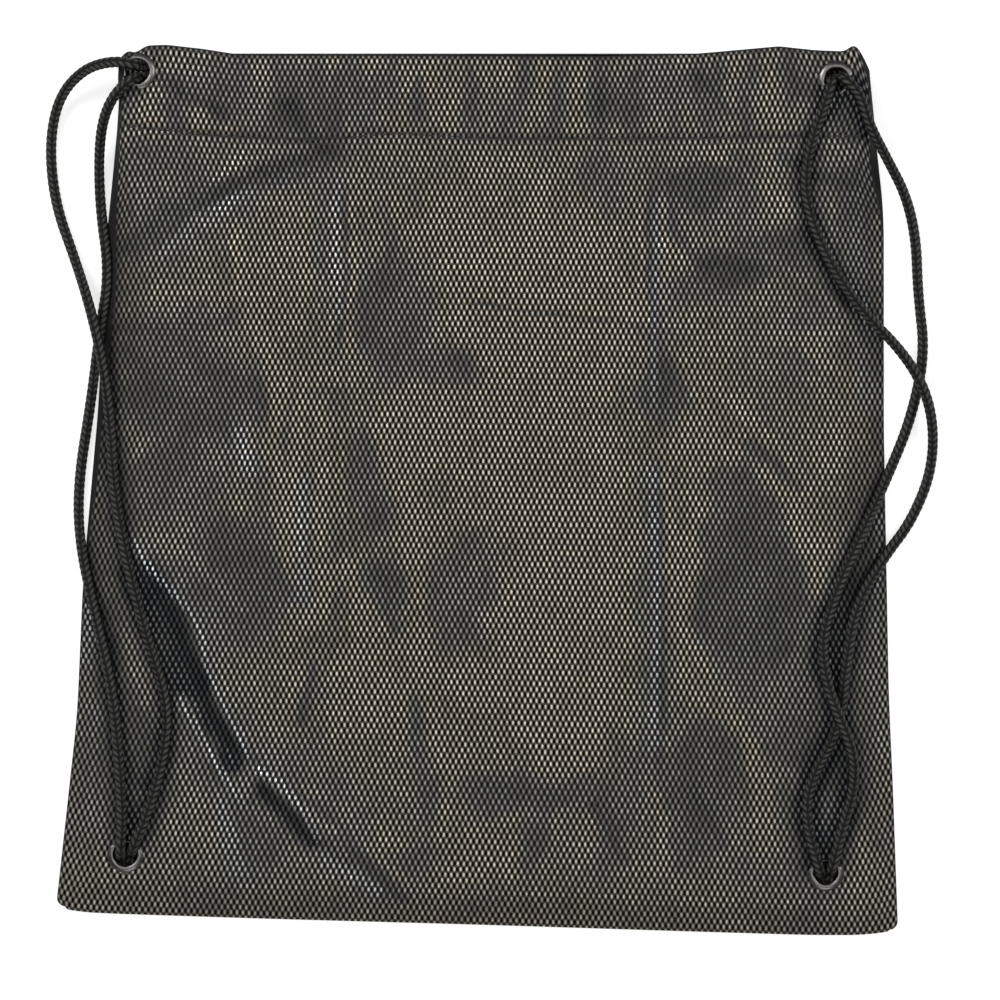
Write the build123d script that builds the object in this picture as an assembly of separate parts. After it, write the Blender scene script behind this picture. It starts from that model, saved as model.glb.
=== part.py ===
from build123d import *
import os
from math import hypot, radians, tan

# A drawstring sack lying on its back, mouth towards +Y, +X to the wearer's right hand as seen from above.
# The origin is on the floor under the middle of the cloth body. All sizes are in millimetres.

# Cloth
PANEL_THICKNESS = 0.9
STRIP_THICKNESS = 0.8
BODY_GAP = 0.3              # between the back half of the bag and the front half that lifts

# Heights above the floor
MOUTH_TOP = 21.7            # outer face of the front panel along the cord channel
FOOT_TOP = 12.5             # outer face of the front panel near the bottom edge
BACK_STRIP_TOP = 7.0
FRONT_STRIP_UNDERSIDE = 12.8
FRONT_CORD_HEIGHT = 16.3
BACK_CORD_HEIGHT = 3.5
RIM_HEIGHT = PANEL_THICKNESS + BODY_GAP

# Places along the bag
CHANNEL_START = 165.0       # the front panel is level from here to the mouth
STITCH_LINE = 169.0
CHANNEL_EDGE = 207.8
SLOPE_END = -140.0          # the front panel is level again from here to the bottom
BEYOND_MOUTH = 240.0
STRIP_LEFT_END = -156.3
STRIP_RIGHT_END = 163.0

# Drawcord, eyelets and knots
CORD_DIAMETER = 5.0
BEND_SHARE = 0.45           # an arc takes this share of the shorter run beside it
EYELET_HOLE_RADIUS = 5.5
EYELET_BARREL_RADIUS = 6.1
EYELET_FLANGE_RADIUS = 8.75
EYELET_FLANGE_HEIGHT = 1.0
EYELET_EDGE_ROUNDING = 0.45
WASHER_THICKNESS = 0.8
WASHER_RADIUS = 7.5
FIT_GAP = 0.1
KNOT_RADIUS = 8.0
KNOT_UNDERSIDE = 1.3
KNOT_TOP = 10.3
KNOT_ROUNDING = 3.6

TOP_LEFT_EYELET = (-160.9, 199.2)
TOP_RIGHT_EYELET = (170.4, 195.4)
BOTTOM_LEFT_EYELET = (-167.2, -172.6)
BOTTOM_RIGHT_EYELET = (165.8, -181.3)

# The turned-in cloth of the channel
STRIP_SLOPE_RUN = 7.0       # from the stitch line to where the strip runs level
STRIP_HOLD = 1.0            # the strip's flat end under the stitches
STRIP_CORNER_SHIFT = 0.3    # keeps the strip's thickness even where it bends
BACK_STITCH_OFFSET = 11.0   # the back half's stitches lie this far beyond the stitch line

# Seams and stitches
SEAM_OUTER_INSET = 5.0
SEAM_INNER_INSET = 13.0
SEAM_HEIGHT = 1.0
SEAM_THREAD_INSET = 9.0
SEAM_FOOT = -185.0          # where the side seams end and the bottom seam begins
SEAM_HEAD_GAP = 3.0         # below the stitch line
SEAM_JOIN_GAP = 0.2
THREAD_HEAD_GAP = 5.0
THREAD_FOOT = -181.0
THREAD_LEFT_SHIFT = 1.6
THREAD_RIGHT_SHIFT = 0.8
BOTTOM_THREAD_LEFT_GAP = 8.0
BOTTOM_THREAD_RIGHT_GAP = 12.0
STITCHES_LEFT_END = -166.0
STITCHES_RIGHT_END = 187.0
STITCH_LENGTH = 3.4
STITCH_PITCH = 4.6
STITCH_WIDTH = 0.7
STITCH_HEIGHT = 0.3

# The bag's sides and bottom where the cloth folds over, from the mouth's left end to its right end.
SIDES = [
    (-168.0, BEYOND_MOUTH), (-170.6, 190.0), (-174.4, 148.0), (-178.6, 105.0), (-180.6, 44.0),
    (-188.2, -42.0), (-191.0, -107.0), (-201.05, -201.0),
    (201.0, -212.35), (198.5, -141.0), (196.6, -99.0), (194.2, 30.0), (194.2, 133.0),
    (190.0, 171.0), (186.8, 200.0), (182.0, BEYOND_MOUTH),
]
BOTTOM_LEFT_CORNER = (-201.05, -201.0)
BOTTOM_RIGHT_CORNER = (201.0, -212.35)
BOTTOM_LEFT_ROUNDING = 8.0
BOTTOM_RIGHT_ROUNDING = 14.0

# Where the sloping sides of the front panel would reach MOUTH_TOP, one point for each point of SIDES.
SHOULDERS = [
    (-167.2, BEYOND_MOUTH), (-169.8, 190.0), (-168.0, 148.0), (-156.0, 105.0), (-150.6, 44.0),
    (-158.2, -42.0), (-161.0, -107.0), (-171.0, -171.0),
    (171.0, -182.3), (168.5, -141.0), (166.6, -99.0), (164.2, 30.0), (170.0, 128.0),
    (186.0, 168.0), (186.0, 199.0), (181.2, BEYOND_MOUTH),
]

# The mouth's edge, gently waved, from its left end to its right end.
MOUTH_EDGE = [
    (-166.8, 207.6), (-156.0, 212.0), (-110.0, 208.2),
    (128.0, 208.2), (142.0, 211.4), (163.0, 209.4), (186.2, 211.0),
]

# Routes of the free strands, from inside the cord channel to inside the knot.
LEFT_OUTER_ROUTE = [
    (-149.7, 201.8, 16.3), (-160.9, 201.8, 16.3), (-160.9, 201.8, 27.5), (-172.4, 203.8, 27.2),
    (-187.0, 200.5, 17.5), (-199.5, 188.0, 6.5), (-204.2, 166.0, 2.6), (-201.5, 137.5, 2.6),
    (-191.5, 110.0, 5.0), (-183.6, 87.0, 16.2), (-177.2, 60.0, 16.4), (-174.0, 31.0, 12.2),
    (-173.0, 2.0, 13.8), (-166.5, -33.0, 19.7), (-156.5, -70.0, 17.9), (-146.0, -101.0, 17.0),
    (-148.6, -127.0, 16.4), (-156.4, -153.0, 17.9), (-164.7, -171.9, 18.7), (-164.7, -171.9, 7.5),
]
LEFT_INNER_ROUTE = [
    (-160.9, 196.6, 16.3), (-160.9, 196.6, 27.5), (-170.3, 190.0, 26.6), (-177.5, 178.0, 17.5),
    (-180.8, 160.0, 7.0), (-180.6, 134.0, 2.6), (-178.0, 104.0, 6.6), (-180.0, 76.0, 6.0),
    (-184.4, 42.0, 3.2), (-190.4, 5.0, 2.6), (-190.0, -24.0, 2.6), (-182.0, -57.0, 10.1),
    (-173.0, -92.0, 17.5), (-170.0, -128.0, 16.2), (-168.5, -156.5, 17.9), (-169.7, -173.3, 18.7),
    (-169.7, -173.3, 7.5),
]
RIGHT_OUTER_ROUTE = [
    (172.7, 196.6, 16.3), (172.7, 196.6, 27.5), (181.0, 188.6, 27.0), (186.8, 173.5, 26.0),
    (194.2, 158.0, 17.5), (203.0, 141.5, 8.0), (209.5, 121.0, 2.6), (210.4, 94.0, 2.6),
    (213.8, 66.0, 2.6), (207.2, 35.0, 2.6), (196.5, 9.0, 4.8), (184.0, -18.0, 13.6),
    (171.5, -45.0, 20.5), (163.2, -70.0, 18.8), (166.0, -95.0, 26.6), (178.0, -122.0, 26.6),
    (178.8, -141.0, 18.4), (173.0, -160.5, 17.9), (168.3, -180.7, 18.7), (168.3, -180.7, 7.5),
]
RIGHT_INNER_ROUTE = [
    (157.0, 194.2, 16.3), (168.1, 194.2, 16.3), (168.1, 194.2, 27.5), (164.6, 182.6, 27.0),
    (157.8, 165.0, 25.4), (154.0, 143.0, 24.4), (162.2, 116.0, 24.4), (180.0, 88.0, 21.4),
    (204.5, 64.5, 12.8), (216.4, 41.0, 12.6), (217.8, 12.0, 2.6), (207.5, -14.0, 2.6),
    (194.0, -31.0, 6.8), (179.5, -54.0, 16.6), (175.3, -82.0, 17.8), (172.5, -112.0, 16.6),
    (157.0, -139.0, 16.4), (156.4, -159.5, 17.9), (163.3, -181.9, 18.7), (163.3, -181.9, 7.5),
]

# Each drawcord inside the channel. A run meets its neighbours end to end.
LEFT_FRONT_RUN = [(-149.6, 201.8, FRONT_CORD_HEIGHT), (163.5, 203.0, FRONT_CORD_HEIGHT)]
RIGHT_FRONT_RUN = [(156.9, 194.2, FRONT_CORD_HEIGHT), (-155.0, 190.6, FRONT_CORD_HEIGHT)]
LEFT_BACK_RUN = [(-149.3, 196.6, BACK_CORD_HEIGHT), (163.5, 203.0, BACK_CORD_HEIGHT)]
RIGHT_BACK_RUN = [(161.2, 196.6, BACK_CORD_HEIGHT), (-155.0, 190.6, BACK_CORD_HEIGHT)]
LEFT_FAR_BEND = [
    (163.8, 203.0, BACK_CORD_HEIGHT), (176.5, 203.0, BACK_CORD_HEIGHT),
    (176.5, 203.0, FRONT_CORD_HEIGHT), (163.8, 203.0, FRONT_CORD_HEIGHT),
]
RIGHT_FAR_BEND = [
    (-155.3, 190.6, BACK_CORD_HEIGHT), (-166.6, 190.6, BACK_CORD_HEIGHT),
    (-166.6, 190.6, FRONT_CORD_HEIGHT), (-155.3, 190.6, FRONT_CORD_HEIGHT),
]
LEFT_NEAR_BEND = [
    (-149.4, 196.6, BACK_CORD_HEIGHT), (-160.9, 196.6, BACK_CORD_HEIGHT),
    (-160.9, 196.6, FRONT_CORD_HEIGHT - BODY_GAP),
]
RIGHT_NEAR_BEND = [
    (161.5, 196.6, BACK_CORD_HEIGHT), (172.7, 196.6, BACK_CORD_HEIGHT),
    (172.7, 196.6, FRONT_CORD_HEIGHT - BODY_GAP),
]


def shrunk(points, inset):
    """Move the points of the bag's outline inwards by about the inset."""
    half_width = max(abs(x) for x, y in points)
    factor = 1 - inset / half_width
    return [(x * factor, y if y == BEYOND_MOUTH else y * factor) for x, y in points]


def along_x(profile, start, end):
    """A bar with a profile of (y, z) points, from one x to another."""
    face = make_face(Polyline(*[(start, y, z) for y, z in profile], close=True))
    return extrude(face, amount=end - start, dir=(1, 0, 0))


def bag_plan(inset=0.0):
    """The plan of the bag body: waved mouth, gently bent sides and rounded bottom corners."""
    corners = SIDES[1:-1]
    face = make_face(Polyline(*MOUTH_EDGE, *reversed(corners), close=True))
    for corner, rounding in (
        (BOTTOM_LEFT_CORNER, BOTTOM_LEFT_ROUNDING),
        (BOTTOM_RIGHT_CORNER, BOTTOM_RIGHT_ROUNDING),
    ):
        face = fillet(face.vertices().sort_by_distance((*corner, 0))[0], rounding)
    if inset:
        face = offset(face, -inset, kind=Kind.INTERSECTION)
    return face


def sloping_lid(inset, rim_height, top_drop):
    """The solid under the front panel's face: sloping sides, level channel, falling top."""
    rim = Polyline(*[(x, y, rim_height) for x, y in shrunk(SIDES, inset)], close=True)
    shoulder_height = MOUTH_TOP - top_drop
    shoulder = Polyline(*[(x, y, shoulder_height) for x, y in shrunk(SHOULDERS, inset)], close=True)
    flanks = loft([make_face(rim), make_face(shoulder)], ruled=True)
    reach = BEYOND_MOUTH
    profile = [
        (reach, 0), (reach, shoulder_height), (CHANNEL_START, shoulder_height),
        (SLOPE_END, FOOT_TOP - top_drop), (-reach, FOOT_TOP - top_drop), (-reach, 0),
    ]
    return flanks & along_x(profile, -reach, reach)


def front_panel():
    outer = sloping_lid(0.0, RIM_HEIGHT, 0.0) & extrude(bag_plan(), amount=MOUTH_TOP)
    inner = sloping_lid(PANEL_THICKNESS, RIM_HEIGHT - PANEL_THICKNESS, PANEL_THICKNESS)
    corner_block = extrude(bag_plan(PANEL_THICKNESS), amount=MOUTH_TOP)
    open_length = 2 * (BEYOND_MOUTH - CHANNEL_EDGE)
    mouth_block = Pos(0, CHANNEL_EDGE, MOUTH_TOP / 2) * Box(2 * BEYOND_MOUTH, open_length, MOUTH_TOP)
    panel = outer - (inner & (corner_block + mouth_block))
    for x, y in (TOP_LEFT_EYELET, TOP_RIGHT_EYELET, BOTTOM_LEFT_EYELET, BOTTOM_RIGHT_EYELET):
        panel -= Pos(x, y, MOUTH_TOP / 2) * Cylinder(EYELET_BARREL_RADIUS + FIT_GAP, MOUTH_TOP)
    return panel


def back_panel():
    return extrude(bag_plan(), amount=PANEL_THICKNESS)


def front_channel_strip():
    """Turned-in cloth: a wall at the mouth, a level layer, and a slope up to the stitch line."""
    top = MOUTH_TOP - PANEL_THICKNESS
    bottom = FRONT_STRIP_UNDERSIDE
    inside = bottom + STRIP_THICKNESS
    held_end = STITCH_LINE - STRIP_HOLD
    level_start = STITCH_LINE + STRIP_SLOPE_RUN
    wall = CHANNEL_EDGE - STRIP_THICKNESS
    profile = [
        (CHANNEL_EDGE, top), (CHANNEL_EDGE, bottom), (level_start, bottom),
        (held_end, top - STRIP_HOLD), (held_end, top), (STITCH_LINE + STRIP_CORNER_SHIFT, top),
        (level_start + STRIP_CORNER_SHIFT, inside), (wall, inside), (wall, top),
    ]
    return along_x(profile, STRIP_LEFT_END, STRIP_RIGHT_END)


def back_channel_strip():
    bottom = PANEL_THICKNESS
    top = BACK_STRIP_TOP
    inside = top - STRIP_THICKNESS
    held_end = STITCH_LINE - STRIP_HOLD
    level_start = STITCH_LINE + STRIP_SLOPE_RUN
    wall = CHANNEL_EDGE - STRIP_THICKNESS
    profile = [
        (CHANNEL_EDGE, bottom), (CHANNEL_EDGE, top), (level_start, top),
        (held_end, bottom + STRIP_HOLD), (held_end, bottom), (STITCH_LINE + STRIP_THICKNESS, bottom),
        (level_start + STRIP_CORNER_SHIFT, inside), (wall, inside), (wall, bottom),
    ]
    return along_x(profile, STRIP_LEFT_END, STRIP_RIGHT_END)


def stitch_row(start, end, underside):
    """Separate stitches in a straight row."""
    run = hypot(end[0] - start[0], end[1] - start[1])
    direction = Vector(end[0] - start[0], end[1] - start[1], 0).normalized()
    angle = Vector(1, 0, 0).get_signed_angle(direction, Vector(0, 0, 1))
    stitches = []
    for number in range(int(run / STITCH_PITCH)):
        middle = Vector(start[0], start[1], 0) + direction * (STITCH_PITCH * (number + 0.5))
        place = Pos(middle.X, middle.Y, underside + STITCH_HEIGHT / 2) * Rot(0, 0, angle)
        stitches.append(place * Box(STITCH_LENGTH, STITCH_WIDTH, STITCH_HEIGHT))
    return stitches


def stitch_path(points, underside):
    """Stitch rows along each leg of an outline, as one group."""
    stitches = []
    for start, end in zip(points, points[1:]):
        stitches += stitch_row(start, end, underside)
    return Compound(children=stitches)


def seam_allowances():
    """The cut edges turned into the bag: a band inside the sides and the bottom."""
    band = bag_plan(SEAM_OUTER_INSET) - bag_plan(SEAM_INNER_INSET)
    band = extrude(Plane.XY.offset(PANEL_THICKNESS) * band, amount=SEAM_HEIGHT)
    head = STITCH_LINE - SEAM_HEAD_GAP
    reach = BEYOND_MOUTH
    side_box = Box(reach, head - SEAM_FOOT, MOUTH_TOP)
    side_middle = (head + SEAM_FOOT) / 2
    left = band & (Pos(-reach / 2, side_middle, 0) * side_box)
    right = band & (Pos(reach / 2, side_middle, 0) * side_box)
    bottom_middle = SEAM_FOOT - SEAM_JOIN_GAP - reach / 2
    bottom = band & (Pos(0, bottom_middle, 0) * Box(2 * reach, reach, MOUTH_TOP))
    return left, right, bottom


def seam_threads():
    top = PANEL_THICKNESS + SEAM_HEIGHT
    line = shrunk(SIDES, SEAM_THREAD_INSET)
    head = STITCH_LINE - THREAD_HEAD_GAP
    left_foot = (line[7][0] + THREAD_LEFT_SHIFT, THREAD_FOOT)
    right_foot = (line[8][0] - THREAD_RIGHT_SHIFT, THREAD_FOOT)
    left = [(line[1][0], head), *line[2:7], left_foot]
    right = [right_foot, *line[9:13], (line[13][0], head)]
    bottom = [
        (line[7][0] + BOTTOM_THREAD_LEFT_GAP, line[7][1] + SEAM_JOIN_GAP),
        (line[8][0] - BOTTOM_THREAD_RIGHT_GAP, line[8][1] + SEAM_JOIN_GAP),
    ]
    return stitch_path(left, top), stitch_path(right, top), stitch_path(bottom, top)


def eyelet(place, panel_top):
    """A rolled flange on the cloth and a barrel through it, round the cord hole."""
    x, y = place
    flange_top = panel_top + EYELET_FLANGE_HEIGHT
    barrel_end = panel_top - PANEL_THICKNESS - WASHER_THICKNESS - FIT_GAP
    barrel_height = flange_top - barrel_end
    flange = Pos(0, 0, flange_top - EYELET_FLANGE_HEIGHT / 2)
    body = flange * Cylinder(EYELET_FLANGE_RADIUS, EYELET_FLANGE_HEIGHT)
    body += Pos(0, 0, flange_top - barrel_height / 2) * Cylinder(EYELET_BARREL_RADIUS, barrel_height)
    body -= Pos(0, 0, flange_top - barrel_height / 2) * Cylinder(EYELET_HOLE_RADIUS, barrel_height)
    rims = body.edges().filter_by(GeomType.CIRCLE).group_by(Axis.Z)[-1]
    return Pos(x, y, 0) * fillet(rims, EYELET_EDGE_ROUNDING)


def washer(place, panel_top):
    x, y = place
    middle = panel_top - PANEL_THICKNESS - WASHER_THICKNESS / 2
    ring = Cylinder(WASHER_RADIUS, WASHER_THICKNESS)
    ring -= Cylinder(EYELET_BARREL_RADIUS + FIT_GAP, WASHER_THICKNESS)
    return Pos(x, y, middle) * ring


def knot(place):
    """The outer shape of a tight overhand knot in both ends of a drawcord."""
    x, y = place
    height = KNOT_TOP - KNOT_UNDERSIDE
    body = Cylinder(KNOT_RADIUS, height)
    return Pos(x, y, KNOT_UNDERSIDE + height / 2) * fillet(body.edges(), KNOT_ROUNDING)


def corner_radius(before, corner, after):
    """An easy arc between two straight runs, and the turn between them in degrees."""
    arriving = Vector(*corner) - Vector(*before)
    leaving = Vector(*after) - Vector(*corner)
    turn = arriving.get_angle(leaving)
    shorter = min(arriving.length, leaving.length)
    return BEND_SHARE * shorter / tan(radians(turn) / 2), turn


def cord(name, route):
    """A round tube along straight runs joined by tangent arcs."""
    corners = [corner_radius(*route[i - 1:i + 2]) for i in range(1, len(route) - 1)]
    radii = [radius for radius, turn in corners]
    path = FilletPolyline(*route, radius=radii) if radii else Line(*route)
    section = Plane(origin=path @ 0, z_dir=path % 0) * Circle(CORD_DIAMETER / 2)
    tube = sweep(section, path=path)
    expected = section.area * path.length
    print(name, "length", round(path.length, 1), "volume ratio", round(tube.volume / expected, 4))
    print("   radii", [round(radius, 1) for radius in radii], "turns", [round(turn) for _, turn in corners])
    return tube


def write(name, solid):
    solid.label = name
    export_step(solid, "parts/" + name + ".step")


os.makedirs("parts", exist_ok=True)

write("back_panel", back_panel())
write("front_panel", front_panel())
write("back_channel_strip", back_channel_strip())
write("front_channel_strip", front_channel_strip())

front_stitches = stitch_path(
    [(STITCHES_LEFT_END, STITCH_LINE), (STITCHES_RIGHT_END, STITCH_LINE)], MOUTH_TOP
)
back_stitch_line = STITCH_LINE + BACK_STITCH_OFFSET
back_stitches = stitch_path(
    [(STRIP_LEFT_END, back_stitch_line), (STRIP_RIGHT_END, back_stitch_line)], BACK_STRIP_TOP
)
write("front_channel_stitching", front_stitches)
write("back_channel_stitching", back_stitches)

for side, allowance, thread in zip(("left_side", "right_side", "bottom"), seam_allowances(), seam_threads()):
    write(side + "_seam", allowance)
    write(side + "_seam_thread", thread)

for corner_name, corner_place, height in (
    ("top_left", TOP_LEFT_EYELET, MOUTH_TOP),
    ("top_right", TOP_RIGHT_EYELET, MOUTH_TOP),
    ("bottom_left", BOTTOM_LEFT_EYELET, FOOT_TOP),
    ("bottom_right", BOTTOM_RIGHT_EYELET, FOOT_TOP),
):
    write(corner_name + "_eyelet", eyelet(corner_place, height))
    write(corner_name + "_washer", washer(corner_place, height))

write("left_knot", knot(BOTTOM_LEFT_EYELET))
write("right_knot", knot(BOTTOM_RIGHT_EYELET))

for cord_name, cord_route in (
    ("left_cord_outer_strand", LEFT_OUTER_ROUTE),
    ("left_cord_inner_strand", LEFT_INNER_ROUTE),
    ("right_cord_outer_strand", RIGHT_OUTER_ROUTE),
    ("right_cord_inner_strand", RIGHT_INNER_ROUTE),
    ("left_cord_front_run", LEFT_FRONT_RUN),
    ("right_cord_front_run", RIGHT_FRONT_RUN),
    ("left_cord_back_run", LEFT_BACK_RUN),
    ("right_cord_back_run", RIGHT_BACK_RUN),
    ("left_cord_far_bend", LEFT_FAR_BEND),
    ("right_cord_far_bend", RIGHT_FAR_BEND),
    ("left_cord_near_bend", LEFT_NEAR_BEND),
    ("right_cord_near_bend", RIGHT_NEAR_BEND),
):
    write(cord_name, cord(cord_name, cord_route))
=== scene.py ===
from math import cos, pi, radians, sin

import bmesh
import bpy
import numpy as np
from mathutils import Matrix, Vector, noise


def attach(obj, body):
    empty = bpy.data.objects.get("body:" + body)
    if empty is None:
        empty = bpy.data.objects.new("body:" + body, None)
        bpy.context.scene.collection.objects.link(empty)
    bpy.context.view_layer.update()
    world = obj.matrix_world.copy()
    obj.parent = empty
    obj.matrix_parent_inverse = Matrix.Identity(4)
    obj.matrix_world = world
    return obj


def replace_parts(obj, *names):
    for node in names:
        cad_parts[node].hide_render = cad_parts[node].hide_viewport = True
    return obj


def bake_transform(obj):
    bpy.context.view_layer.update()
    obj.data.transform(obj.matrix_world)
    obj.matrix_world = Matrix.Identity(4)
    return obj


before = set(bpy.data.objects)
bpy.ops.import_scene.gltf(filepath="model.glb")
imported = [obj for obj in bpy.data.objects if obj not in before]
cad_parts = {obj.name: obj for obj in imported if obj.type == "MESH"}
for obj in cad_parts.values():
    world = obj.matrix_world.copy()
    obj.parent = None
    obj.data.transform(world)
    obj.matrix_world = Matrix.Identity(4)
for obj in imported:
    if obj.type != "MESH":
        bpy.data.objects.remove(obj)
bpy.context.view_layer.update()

# A drawstring sack lying on its back on the floor, mouth towards +Y. Sizes are in metres, and in
# millimetres only where a comment says so.

MM = 0.001

CAMERA_LENS = 200.0
CAMERA_SENSOR = 36.0
VIEW_WIDTH = 0.476
VIEW_CENTRE = (0.0109, -0.0040)
CLOTH_TOP = 0.010

CORD_DIAMETER = 0.005
CORD_STEP = 0.0004
CORD_SIDES = 44
BRAID_COLUMNS = 4
BRAID_PITCH = 0.0030
BRAID_DEPTH = 0.00055
BRAID_LEVEL = 0.8

# Routes of the free strands, from inside the cord channel to inside the knot.
LEFT_OUTER_ROUTE = [
    (-0.1497, 0.2018, 0.0163), (-0.1609, 0.2018, 0.0163), (-0.1609, 0.2018, 0.0275),
    (-0.1724, 0.2038, 0.0272), (-0.1870, 0.2005, 0.0175), (-0.1995, 0.1880, 0.0065),
    (-0.2042, 0.1660, 0.0026), (-0.2015, 0.1375, 0.0026), (-0.1915, 0.1100, 0.0050),
    (-0.1836, 0.0870, 0.0162), (-0.1772, 0.0600, 0.0164), (-0.1740, 0.0310, 0.0122),
    (-0.1730, 0.0020, 0.0138), (-0.1665, -0.0330, 0.0197), (-0.1565, -0.0700, 0.0179),
    (-0.1460, -0.1010, 0.0170), (-0.1486, -0.1270, 0.0164), (-0.1564, -0.1530, 0.0179),
    (-0.1647, -0.1719, 0.0187), (-0.1647, -0.1719, 0.0075),
]
LEFT_INNER_ROUTE = [
    (-0.1609, 0.1966, 0.0163), (-0.1609, 0.1966, 0.0275), (-0.1703, 0.1900, 0.0266),
    (-0.1775, 0.1780, 0.0175), (-0.1804, 0.1600, 0.0070), (-0.1798, 0.1340, 0.0026),
    (-0.1752, 0.1040, 0.0066), (-0.1800, 0.0760, 0.0060), (-0.1844, 0.0420, 0.0032),
    (-0.1904, 0.0050, 0.0026), (-0.1900, -0.0240, 0.0026), (-0.1820, -0.0570, 0.0101),
    (-0.1730, -0.0920, 0.0175), (-0.1700, -0.1280, 0.0162), (-0.1685, -0.1565, 0.0179),
    (-0.1697, -0.1733, 0.0187), (-0.1697, -0.1733, 0.0075),
]
RIGHT_OUTER_ROUTE = [
    (0.1727, 0.1966, 0.0163), (0.1727, 0.1966, 0.0275), (0.1810, 0.1886, 0.0270),
    (0.1856, 0.1735, 0.0260), (0.1946, 0.1580, 0.0175), (0.2042, 0.1415, 0.0080),
    (0.2095, 0.1210, 0.0026), (0.2104, 0.0940, 0.0026), (0.2138, 0.0660, 0.0026),
    (0.2072, 0.0350, 0.0026), (0.1965, 0.0090, 0.0048), (0.1840, -0.0180, 0.0136),
    (0.1715, -0.0450, 0.0205), (0.1632, -0.0700, 0.0188), (0.1660, -0.0950, 0.0266),
    (0.1780, -0.1220, 0.0266), (0.1788, -0.1410, 0.0184), (0.1730, -0.1605, 0.0179),
    (0.1683, -0.1807, 0.0187), (0.1683, -0.1807, 0.0075),
]
RIGHT_INNER_ROUTE = [
    (0.1570, 0.1942, 0.0163), (0.1681, 0.1942, 0.0163), (0.1681, 0.1942, 0.0275),
    (0.1646, 0.1826, 0.0270), (0.1578, 0.1650, 0.0254), (0.1540, 0.1430, 0.0244),
    (0.1622, 0.1160, 0.0244), (0.1800, 0.0880, 0.0214), (0.2045, 0.0645, 0.0128),
    (0.2164, 0.0410, 0.0126), (0.2178, 0.0120, 0.0026), (0.2075, -0.0140, 0.0026),
    (0.1940, -0.0310, 0.0068), (0.1795, -0.0540, 0.0166), (0.1753, -0.0820, 0.0178),
    (0.1725, -0.1120, 0.0166), (0.1570, -0.1390, 0.0164), (0.1564, -0.1595, 0.0179),
    (0.1633, -0.1819, 0.0187), (0.1633, -0.1819, 0.0075),
]

# The drawcords inside the channel.
FRONT_CORD_HEIGHT = 0.0163
BACK_CORD_HEIGHT = 0.0035
CHANNEL_CORDS = {
    "left_cord_front_run": ("front", [
        (-0.1496, 0.2018, FRONT_CORD_HEIGHT), (0.1635, 0.2030, FRONT_CORD_HEIGHT),
    ]),
    "right_cord_front_run": ("front", [
        (0.1569, 0.1942, FRONT_CORD_HEIGHT), (-0.1550, 0.1906, FRONT_CORD_HEIGHT),
    ]),
    "left_cord_back_run": ("back", [
        (-0.1493, 0.1966, BACK_CORD_HEIGHT), (0.1635, 0.2030, BACK_CORD_HEIGHT),
    ]),
    "right_cord_back_run": ("back", [
        (0.1612, 0.1966, BACK_CORD_HEIGHT), (-0.1550, 0.1906, BACK_CORD_HEIGHT),
    ]),
    "left_cord_far_bend": ("both", [
        (0.1638, 0.2030, BACK_CORD_HEIGHT), (0.1765, 0.2030, BACK_CORD_HEIGHT),
        (0.1765, 0.2030, FRONT_CORD_HEIGHT), (0.1638, 0.2030, FRONT_CORD_HEIGHT),
    ]),
    "right_cord_far_bend": ("both", [
        (-0.1553, 0.1906, BACK_CORD_HEIGHT), (-0.1666, 0.1906, BACK_CORD_HEIGHT),
        (-0.1666, 0.1906, FRONT_CORD_HEIGHT), (-0.1553, 0.1906, FRONT_CORD_HEIGHT),
    ]),
    "left_cord_near_bend": ("both", [
        (-0.1494, 0.1966, BACK_CORD_HEIGHT), (-0.1609, 0.1966, BACK_CORD_HEIGHT),
        (-0.1609, 0.1966, FRONT_CORD_HEIGHT - 0.0003),
    ]),
    "right_cord_near_bend": ("both", [
        (0.1615, 0.1966, BACK_CORD_HEIGHT), (0.1727, 0.1966, BACK_CORD_HEIGHT),
        (0.1727, 0.1966, FRONT_CORD_HEIGHT - 0.0003),
    ]),
}

# The cloth body's plan and heights.
PANEL_THICKNESS = 0.0009
RIM_HEIGHT = 0.0012
MOUTH_TOP = 0.0217
FOOT_TOP = 0.0125
CHANNEL_START = 0.165
SLOPE_END = -0.140
LEFT_SIDE = [
    (-0.2037, -0.226), (-0.20105, -0.201), (-0.1910, -0.107), (-0.1882, -0.042),
    (-0.1806, 0.044), (-0.1786, 0.105), (-0.1744, 0.148), (-0.1706, 0.190), (-0.1680, 0.240),
]
RIGHT_SIDE = [
    (0.2022, -0.247), (0.2010, -0.21235), (0.1985, -0.141), (0.1966, -0.099),
    (0.1942, 0.030), (0.1942, 0.133), (0.1903, 0.171), (0.1890, 0.188), (0.1872, 0.200), (0.1820, 0.240),
]
LEFT_SHOULDER = [
    (-0.1710, -0.226), (-0.1710, -0.171), (-0.1610, -0.107), (-0.1582, -0.042),
    (-0.1506, 0.044), (-0.1560, 0.105), (-0.1680, 0.148), (-0.1698, 0.190), (-0.1672, 0.240),
]
RIGHT_SHOULDER = [
    (0.1710, -0.247), (0.1710, -0.1823), (0.1685, -0.141), (0.1666, -0.099),
    (0.1642, 0.030), (0.1700, 0.128), (0.1864, 0.168), (0.1866, 0.199), (0.1812, 0.240),
]
MOUTH_EDGE = [
    (-0.1720, 0.2010), (-0.1690, 0.2050), (-0.1655, 0.2088), (-0.1622, 0.2074), (-0.1565, 0.2110),
    (-0.1470, 0.2113), (-0.1300, 0.2094), (-0.1150, 0.2070), (-0.1000, 0.2066), (-0.0500, 0.2066),
    (0.0600, 0.2060), (0.1050, 0.2072), (0.1300, 0.2094), (0.1430, 0.2106), (0.1600, 0.2088),
    (0.1740, 0.2082), (0.1785, 0.2114), (0.1810, 0.2094), (0.1842, 0.2034), (0.1880, 0.1950),
]
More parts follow.
